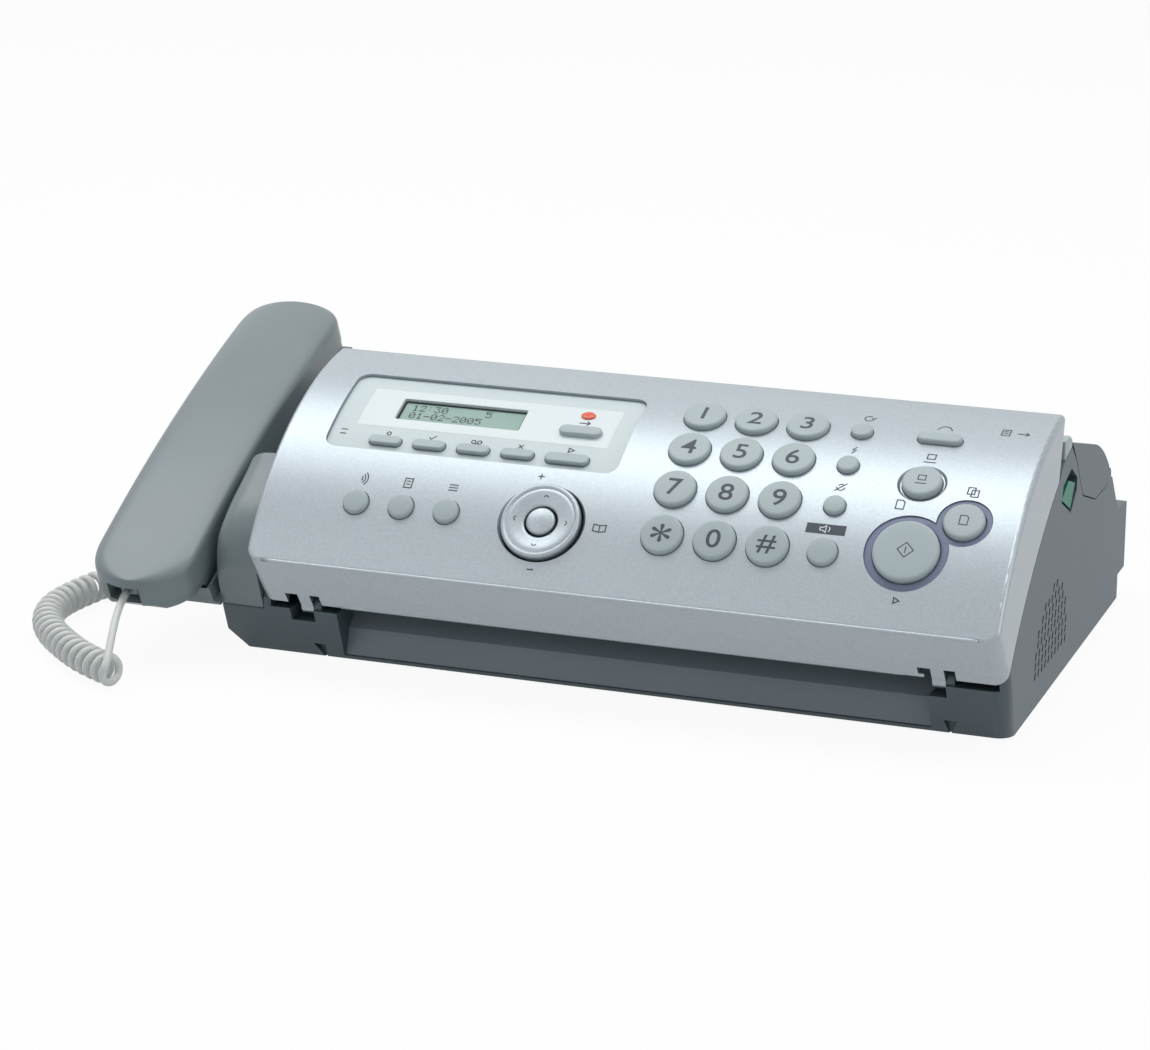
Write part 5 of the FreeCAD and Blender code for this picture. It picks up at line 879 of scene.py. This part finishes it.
print("navigator ring of", len(navigator.data.polygons), "faces")

# %% [markdown]
# The figures on the keys are pad-printed: a soft silicone pad lifts a film of dark ink from a plate and
# presses it on the cap. Blender's own letter outlines give the figures. They are made a thin mesh first and
# then set on the caps.

# %% Printing ink and figures
PATCH_MM = 1.5
INK_HALF, INK_RISE = 0.03, 0.02
FIGURE_HIGH, FIGURE_STRETCH = 7.4, 1.15
LETTER_DEPTH, LETTER_BOLD, LETTER_STEPS = 0.01, 0.008, 6     # shares of a letter's size, and curve steps
# Pad-printing ink: a thin, matt, dark grey film. It is a little uneven where the pad let go, which keeps it
# from looking like a hole in the cap.
print_ink, tree, output = blank("pad_printing_ink")
place = add(tree, "ShaderNodeTexCoord").outputs["Object"]
patches = add(tree, "ShaderNodeTexNoise", {"Scale": 1 / (PATCH_MM * MM)}, {"Vector": place})
tint = add(tree, "ShaderNodeValToRGB", links={"Fac": patches.outputs["Fac"]})
tint.color_ramp.elements[0].color = linear("#39424a")
tint.color_ramp.elements[1].color = linear("#454e55")
shader = add(tree, "ShaderNodeBsdfPrincipled", {"Roughness": 0.6}, {"Base Color": tint.outputs["Color"]})
tree.links.new(shader.outputs["BSDF"], output.inputs["Surface"])


def figure(letter, height, stretch):
    """The outline of one figure as a thin plate, centred, of that height in mm and drawn wider by stretch."""
    curve = bpy.data.curves.new("figure", "FONT")
    curve.body = letter
    curve.extrude = LETTER_DEPTH
    curve.offset = LETTER_BOLD
    curve.resolution_u = LETTER_STEPS
    holder = bpy.data.objects.new("figure", curve)
    scene.collection.objects.link(holder)
    points, faces = read_shape(holder)
    bpy.data.curves.remove(curve)
    low, high = points.min(axis=0), points.max(axis=0)
    points = (points - (low + high) / 2) * height / (high[1] - low[1])
    points[:, 0] *= stretch
    points[:, 2] = np.where(points[:, 2] > 0, INK_HALF, -INK_HALF)
    return points, faces


figures = dict(zip(sum(number_keys, ()), "123456789*0#"))
for name, letter in figures.items():
    points, faces = figure(letter, FIGURE_HIGH, FIGURE_STRETCH)
    length, _, top, _, crown = key_shapes[name]
    points[:, 2] += top + INK_RISE - crown * (points[:, :2] ** 2).sum(axis=1) / (length / 2) ** 2
    laid = on_panel(*key_places[name], points)
    put_piece(name + "_figure", laid, faces, "b_" + name, "key_grey", print_ink, False)
print("figures:", "".join(figures.values()))

# %% [markdown]
# A pale panel is screen-printed on the display frame, with the window left open in its middle. It is a thin
# ring of ink between two rectangles, worked out in distance and angle so that it follows the curve of the
# frame.

# %% Pale display panel
FRAME_DEPTH = -1.4
PALE_HALF = 0.05
PALE_ROWS, SIDE_STEPS = 8, 12
WINDOW_EDGE, PALE_EDGE = ((-73.2, -22.1), (21.3, 27.2)), ((-86.7, 14.8), (19.1, 29.4))
# Screen-printing ink: an almost white film pressed through a fine mesh, smoother than the moulding round it.
pale_ink = moulded_abs("screen_printing_ink_white", "#e2ebec", "#dde7e8", 0.4, 0.02)


def edge_of(x, angles):
    """Points round a rectangle of distance and angle, with the same number on each side."""
    corner = np.array([(x[i], angles[j]) for i, j in ((0, 0), (1, 0), (1, 1), (0, 1), (0, 0))])
    step = np.arange(4 * SIDE_STEPS) / SIDE_STEPS
    return np.stack([np.interp(step, np.arange(5), corner[:, i]) for i in (0, 1)], axis=-1)


inner, outer = edge_of(*WINDOW_EDGE), edge_of(*PALE_EDGE)
share = np.concatenate(((0.0,), np.linspace(0, 1, PALE_ROWS), (1.0,)))[:, None, None]
height = np.concatenate(((-PALE_HALF,), np.full(PALE_ROWS, PALE_HALF), (-PALE_HALF,)))[:, None]
flat = inner + (outer - inner) * share
tilt = np.radians(flat[..., 1])
reach = PANEL_RADIUS + FRAME_DEPTH + height
pale_y, pale_z = PANEL_AXIS[0] - reach * np.sin(tilt), PANEL_AXIS[1] + reach * np.cos(tilt)
pale_points = np.stack((flat[..., 0], pale_y, pale_z), axis=-1) * MM
pale_faces = grid_faces(*flat.shape[:2], True, True)
put_piece("display_pale_panel", pale_points, pale_faces, "cover", "bezel_grey", pale_ink, False)
print("pale panel of", len(inner), "steps round the window")

# %% [markdown]
# The display is a reflective liquid crystal cell: two sheets of glass with a grey-green film behind them.
# The smooth glass is drawn as a coat over that film, so that it mirrors the soft boxes faintly. The film is
# a little cloudy.

# %% Display glass
CLOUD_MM = 25.0
WINDOW_MIDDLE = (-47.65, 24.25)
GLASS_HALF, GLASS_FOOT, GLASS_TOP = (25.25, 6.05), -4.3, -2.9
display_glass, tree, output = blank("liquid_crystal_glass")
place = add(tree, "ShaderNodeTexCoord").outputs["Object"]
cloud = add(tree, "ShaderNodeTexNoise", {"Scale": 1 / (CLOUD_MM * MM)}, {"Vector": place})
tint = add(tree, "ShaderNodeValToRGB", links={"Fac": cloud.outputs["Fac"]})
tint.color_ramp.elements[0].color = linear("#82a298")
tint.color_ramp.elements[1].color = linear("#90b0a6")
shader = add(tree, "ShaderNodeBsdfPrincipled",
             {"Roughness": 0.25, "Coat Weight": 0.6, "Coat Roughness": 0.06},
             {"Base Color": tint.outputs["Color"]})
tree.links.new(shader.outputs["BSDF"], output.inputs["Surface"])


def plate(half_x, half_y, low, high):
    """A plain plate round the origin: a ring of four corners at two heights, closed above and below."""
    x, y = np.array((-1, 1, 1, -1)) * half_x, np.array((-1, -1, 1, 1)) * half_y
    points = np.stack([np.column_stack((x, y, np.full(4, z))) for z in (low, high)])
    return points, grid_faces(2, 4, wrap_columns=True) + [[3, 2, 1, 0], [4, 5, 6, 7]]


points, faces = plate(*GLASS_HALF, GLASS_FOOT, GLASS_TOP)
glass_place = on_panel(*WINDOW_MIDDLE, points)
put_piece("display_glass", glass_place, faces, "cover", "display_glass", display_glass, False)
print("display glass", 2 * GLASS_HALF[0], "by", 2 * GLASS_HALF[1], "mm")

# %% [markdown]
# A character on the display is a grid of five by seven dots. Each row of a figure is a number whose bits
# are the dots, so a whole line of figures is one array of dot places.

# %% Display dots
DOT_PITCH, DOT_HALF = 0.5, 0.24
DOT_LOW, DOT_HIGH = GLASS_TOP - 0.02, GLASS_TOP + 0.03
TEXT_START = (-21.0, 4.2)
LINE_DROP, LETTER_DOTS = 4.4, 6
# Dots: crystal that blocks the light where a voltage turns it, dark and dull.
dark_crystal = worn("liquid_crystal_dark", "#1d2a2a", "#243231", 2.0, 0.0, 0.5)
dot_rows = {"0": (14, 17, 19, 21, 25, 17, 14), "1": (4, 12, 4, 4, 4, 4, 14), "2": (14, 17, 1, 2, 4, 8, 31),
            "3": (31, 2, 4, 2, 1, 17, 14), "5": (31, 16, 30, 1, 1, 17, 14), ":": (0, 4, 0, 0, 4, 0, 0),
            "-": (0, 0, 0, 31, 0, 0, 0), " ": (0,) * 7}
dots = []
for row, text in enumerate(("12:30     5", "01-02-2005")):
    bits = (np.array([dot_rows[letter] for letter in text])[:, :, None] >> np.arange(4, -1, -1)) & 1
    letter, down, across = np.nonzero(bits)
    dot_x = TEXT_START[0] + (letter * LETTER_DOTS + across) * DOT_PITCH
    dots.append(np.column_stack((dot_x, TEXT_START[1] - row * LINE_DROP - down * DOT_PITCH)))
dots = np.concatenate(dots)
square, square_faces = plate(DOT_HALF, DOT_HALF, DOT_LOW, DOT_HIGH)
dot_points = square.reshape(1, 8, 3) + np.column_stack((dots, np.zeros(len(dots))))[:, None]
dot_faces = (np.array(square_faces) + 8 * np.arange(len(dots))[:, None, None]).reshape(-1, 4).tolist()
dot_place = on_panel(*WINDOW_MIDDLE, dot_points)
put_piece("display_dots", dot_place, dot_faces, "cover", "display_glass", dark_crystal, False)
print("dots on the display:", len(dots))

# %% [markdown]
# A thin dark ring round the window, over the edge of the glass, is painted shade where the frame's walls
# shade the glass.

# %% Painted shade round the display
SHADE_RING_OUTER, SHADE_RING_INNER = (25.3, 6.1), (24.4, 5.3)
SHADE_RING_LOW, SHADE_RING_HIGH = -0.05, 0.15
frame_reach = np.array((SHADE_RING_OUTER, SHADE_RING_OUTER, SHADE_RING_INNER, SHADE_RING_INNER))
frame_height = GLASS_TOP + np.array((SHADE_RING_LOW, SHADE_RING_HIGH, SHADE_RING_HIGH, SHADE_RING_LOW))
corner = np.array(((-1, -1), (1, -1), (1, 1), (-1, 1)))
shade_ring_out = np.broadcast_to(frame_height[:, None, None], (4, 4, 1))
painted_shade_ring = np.concatenate((frame_reach[:, None] * corner, shade_ring_out), axis=-1)
# This ring is painted shade, a dark band where the window's walls shade the glass.
put_piece("display_painted_shade_ring", on_panel(*WINDOW_MIDDLE, painted_shade_ring), grid_faces(4, 4, True, True),
          "cover", "display_glass", foot_rubber, False)
print("painted_shade_ring", 2 * SHADE_RING_OUTER[0], "by", 2 * SHADE_RING_OUTER[1], "mm")

# %% [markdown]
# The answering lamp shines through a small domed lens, moulded from clear polycarbonate that is dyed
# orange. Its dome is squarer than a ball, so that it covers the lamp under it.

# %% Lamp lens
LENS_HALF = (2.85, 2.15)
LENS_HIGH = 0.95
LENS_PLACE = (1.9, 21.4)
LENS_ROWS, LENS_STEPS = 11, 32
# Lens: smooth dyed polycarbonate, glossy, with a warm, slightly uneven orange.
lens_orange = worn("polycarbonate_orange_lens", "#e0593a", "#ea7250", 0.8, 0.0, 0.2)
bend = np.linspace(0, np.pi / 2, LENS_ROWS)
lens_reach = np.concatenate(((0.0,), np.sqrt(np.cos(bend))))[:, None]
lens_height = FRAME_DEPTH + LENS_HIGH * np.concatenate(((0.0,), np.sqrt(np.sin(bend))))[:, None]
around = np.linspace(0, 2 * np.pi, LENS_STEPS, endpoint=False)
lens = np.stack((LENS_HALF[0] * lens_reach * np.cos(around), LENS_HALF[1] * lens_reach * np.sin(around),
                 lens_height + 0 * around), axis=-1)
lens_faces = grid_faces(*lens.shape[:2], wrap_columns=True)
put_piece("lamp_lens", on_panel(*LENS_PLACE, lens), lens_faces, "cover", "lever_green", lens_orange)
print("lens", 2 * LENS_HALF[0], "by", 2 * LENS_HALF[1], "mm")

# %% [markdown]
# Small plain signs are pad-printed by the keys. A sign is a few lines, and a printed line is a thin ribbon
# carried along a path, with its corners mitred.

# %% Printed lines
ARC_STEPS = 25
MITRE_LIMIT = 0.5          # a sharper corner isn't drawn out any further
CLOSED_TURN = 360 * (ARC_STEPS - 1) / ARC_STEPS      # degrees; one more step closes the circle


def ribbon(line, width, closed=False):
    """A line of ink: at each point of the path the ribbon's edges lie half a width to each side, square to
    the mean of the headings before and after, and stretched there to keep the width round a corner."""
    line = np.asarray(line, float)
    ahead, behind = np.roll(line, -1, axis=0) - line, line - np.roll(line, 1, axis=0)
    if not closed:
        ahead[-1], behind[0] = behind[-1], ahead[0]
    ahead, behind = unit(ahead), unit(behind)
    mean = unit(ahead + behind)
    mitre = np.maximum((mean * ahead).sum(axis=1), MITRE_LIMIT)[:, None]
    offset = np.stack((-mean[:, 1], mean[:, 0]), axis=1) * width / 2 / mitre
    edges = (line + offset, line + offset, line - offset, line - offset)
    heights = (-INK_HALF, INK_HALF, INK_HALF, -INK_HALF)
    corners = [np.column_stack((edge, np.full(len(line), height))) for edge, height in zip(edges, heights)]
    points = np.stack(corners, axis=1)
    if closed:
        return points, grid_faces(len(line), 4, wrap_rows=True, wrap_columns=True)
    return points, capped_faces(len(line), 4)


def bow_line(x, y, radius, start, end):
    """Points of an arc about x and y between two angles in degrees."""
    turn = np.radians(np.linspace(start, end, ARC_STEPS))
    return np.column_stack((x + radius * np.cos(turn), y + radius * np.sin(turn)))


def box_line(x, y, wide, high):
    """The four corners of an upright rectangle about x and y."""
    return np.array(((-1, -1), (1, -1), (1, 1), (-1, 1))) * (wide / 2, high / 2) + (x, y)


def circle_line(x, y, radius):
    """Points of a closed circle about x and y."""
    return bow_line(x, y, radius, 0, CLOSED_TURN)


print("a stroke of two points has", len(ribbon(((0, 0), (1, 0)), 0.5)[1]), "faces")

# %% [markdown]
# Each sign is drawn about its own middle, in mm. It has lines that are open, such as a stroke or an arc,
# and lines that close, such as a box or a circle.

# %% Signs
open_lines = {
    "again": [bow_line(0, 0, 1.7, 60, 360), ((0.7, 0.5), (1.7, 0.0), (2.6, 0.7))],
    "flash": [((0.6, 1.9), (-0.7, 0.1), (0.6, 0.1), (-0.6, -1.9))],
    "mute": [bow_line(0, 0.6, 0.8, 0, 180), bow_line(0, 0, 1.5, 180, 360), ((-2.0, -1.9), (2.0, 1.9))],
    "ring": [bow_line(0, -0.9, 2.4, 25, 155), ((-2.2, -0.1), (-2.9, -1.0)), ((2.2, -0.1), (2.9, -1.0))],
    "report": [((-0.8, 0.8), (0.8, 0.8)), ((-0.8, -0.5), (0.8, -0.5))],
    "waves": [bow_line(-1.6, 0, radius, -50, 50) for radius in (1.2, 2.3, 3.4)],
    "bars": [((-1.8, y), (1.8, y)) for y in (-1.2, 0, 1.2)],
    "diamond": [((0, -1.3), (0, 1.3))],
    "stop": [((-2.4, -2.2), (2.4, -2.2))],
    "plus": [((-1.3, 0), (1.3, 0)), ((0, -1.3), (0, 1.3))],
    "minus": [((-1.3, 0), (1.3, 0))],
    "book": [((0, -1.4), (0, 1.1))],
    "tick": [((-1.3, 0.1), (-0.4, -0.9), (1.4, 1.1))],
    "tape": [((-1.2, -0.8), (1.2, -0.8))],
    "cross": [((-1, -1), (1, 1)), ((-1, 1), (1, -1))],
    "arrow": [((-2.2, 0), (2.0, 0)), ((0.9, 1.1), (2.1, 0), (0.9, -1.1))],
    "sound": [bow_line(0, 0, 1.4, -45, 45)],
}
closed_lines = {
    "page": [((-1.5, -2), (1.5, -2), (1.5, 1.2), (0.7, 2), (-1.5, 2))],
    "report": [box_line(0, 0, 3, 4)],
    "diamond": [((0, -3.0), (3.0, 0), (0, 3.0), (-3.0, 0))],
    "stop": [box_line(0, 0.9, 3.0, 2.6)],
    "book": [((0, -1.5), (-2.4, -1.1), (-2.4, 1.6), (0, 1.2), (2.4, 1.6), (2.4, -1.1))],
    "dot": [circle_line(0, 0, 0.8)],
    "tape": [circle_line(-1.2, 0, 0.8), circle_line(1.2, 0, 0.8)],
    "play": [((-0.9, -1.1), (1.2, 0), (-0.9, 1.1))],
    "pages": [box_line(-0.7, 0.6, 2.6, 3.2), box_line(0.8, -0.6, 2.6, 3.2)],
    "sound": [((-2.2, -0.6), (-1.2, -0.6), (0, -1.4), (0, 1.4), (-1.2, 0.6), (-2.2, 0.6))],
}


def sign(name, width, scale=1.0):
    """The ribbons of one sign, as (points, faces) parts."""
    drawn = [(line, True) for line in closed_lines.get(name, [])]
    drawn += [(line, False) for line in open_lines.get(name, [])]
    return [ribbon(np.asarray(line) * scale, width, closed) for line, closed in drawn]


print("signs:", len(set(open_lines) | set(closed_lines)))

# %% [markdown]
# The signs on the panel wrap round its curve, and those on the display frame lie as deep as the frame does.
# Each has a place across and an angle, and all of them are one film of ink.

# %% Signs on the panel
PANEL_LINE = 0.5
ON_PALE = -1.3             # the pale panel lies a little over the frame
panel_signs = (("again", SMALL_X, 14.6), ("flash", SMALL_X, 24.3), ("mute", SMALL_X, 33.4),
               ("ring", 137.5, 15.6), ("waves", -74.5, 41.9), ("report", -56.25, 41.9), ("bars", -38.0, 41.9),
               ("plus", -5.5, 37.7), ("minus", -0.2, 55.6), ("book", 22.6, 46.8),
               ("pages", 156.4, 31.6), ("page", 131.5, 35.8),
               ("play", 138.1, 53.9), ("stop", 137.0, 24.5), ("report", 160.0, 15.0), ("arrow", 166.5, 15.0))
frame_signs = (("dot", -72.2, 31.0), ("tick", -54.3, 31.0), ("tape", -36.4, 31.0), ("cross", -18.5, 31.0),
               ("play", 1.4, 30.7), ("minus", -90.5, 31.0), ("minus", -90.5, 32.0))
pale_signs = (("arrow", 1.9, 23.5),)
parts = []
for depth, group in ((0, panel_signs), (FRAME_DEPTH, frame_signs), (ON_PALE, pale_signs)):
    for name, x, angle in group:
        lines = sign(name, PANEL_LINE)
        parts += [(round_panel(x, angle, points + (0, 0, depth)), faces) for points, faces in lines]
put_piece("panel_signs", *joined(parts), "cover", "panel_silver", print_ink, False)
print("signs on the panel:", len(panel_signs) + len(frame_signs) + len(pale_signs))

# %% [markdown]
# Three keys carry a sign on their caps, and four small chevrons on the navigator show which way it rocks.
# They are printed flat, in a finer line, and move with their pieces.

# %% Signs on the keys
KEY_LINE, KEY_INK_RISE = 0.4, 0.01
CHEVRON_REACH, CHEVRON_RISE = 10.2, 1.52
CHEVRON = np.array(((-0.9, -0.5), (0, 0.5), (0.9, -0.5)))


def printed(parts, place, out):
    """Ribbons set flat on the panel's tangent at a place, that far out, and joined to one part."""
    return joined([(on_panel(*place, points + (0, 0, out)), faces) for points, faces in parts])


for name, key, scale in (("diamond", "start_key", 1.0), ("page", "copy_key", 1.0), ("stop", "stop_key", 0.9)):
    points, faces = printed(sign(name, KEY_LINE, scale), key_places[key], key_shapes[key][2] + KEY_INK_RISE)
    put_piece(key + "_sign", points, faces, "b_" + key, "key_grey", print_ink, False)
chevrons = []
for c, s in ((1, 0), (0, 1), (-1, 0), (0, -1)):
    turned = CHEVRON @ np.array(((c, s), (-s, c)))
    chevrons.append(ribbon(turned + (-CHEVRON_REACH * s, CHEVRON_REACH * c), KEY_LINE))
points, faces = printed(chevrons, NAVIGATOR_PLACE, CHEVRON_RISE)
put_piece("navigator_signs", points, faces, "navigator", "panel_silver", print_ink, False)
print("chevrons on the navigator:", len(chevrons))

# %% [markdown]
# Over the speakerphone key a dark label is printed, and on it a small loudspeaker in the pale ink of the
# display panel.

# %% Speakerphone label
LABEL_PLACE, LABEL_HALF = (107.0, 42.3), (7.4, 2.1)
LABEL_LINE, LABEL_INK_RISE = 0.35, 0.05
points, faces = plate(*LABEL_HALF, -INK_HALF, INK_HALF)
label = on_panel(*LABEL_PLACE, points)
put_piece("speakerphone_label", label, faces, "cover", "panel_silver", print_ink, False)
points, faces = printed(sign("sound", LABEL_LINE), LABEL_PLACE, LABEL_INK_RISE)
put_piece("speakerphone_sign", points, faces, "cover", "bezel_grey", pale_ink, False)
print("label", 2 * LABEL_HALF[0], "by", 2 * LABEL_HALF[1], "mm")

# %% [markdown]
# Last, the size of the solid model and the size of the dressed one are set side by side, and the dressed
# one's is printed, so that a slip of scale or place shows at once.

# %% Sizes and finish
size = {"cad": [list(map(float, corner)) for corner in cad_box],
        "visual": [list(map(float, corner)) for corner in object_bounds()]}
print("visual model, in mm:", [[round(v / MM, 1) for v in corner] for corner in size["visual"]])
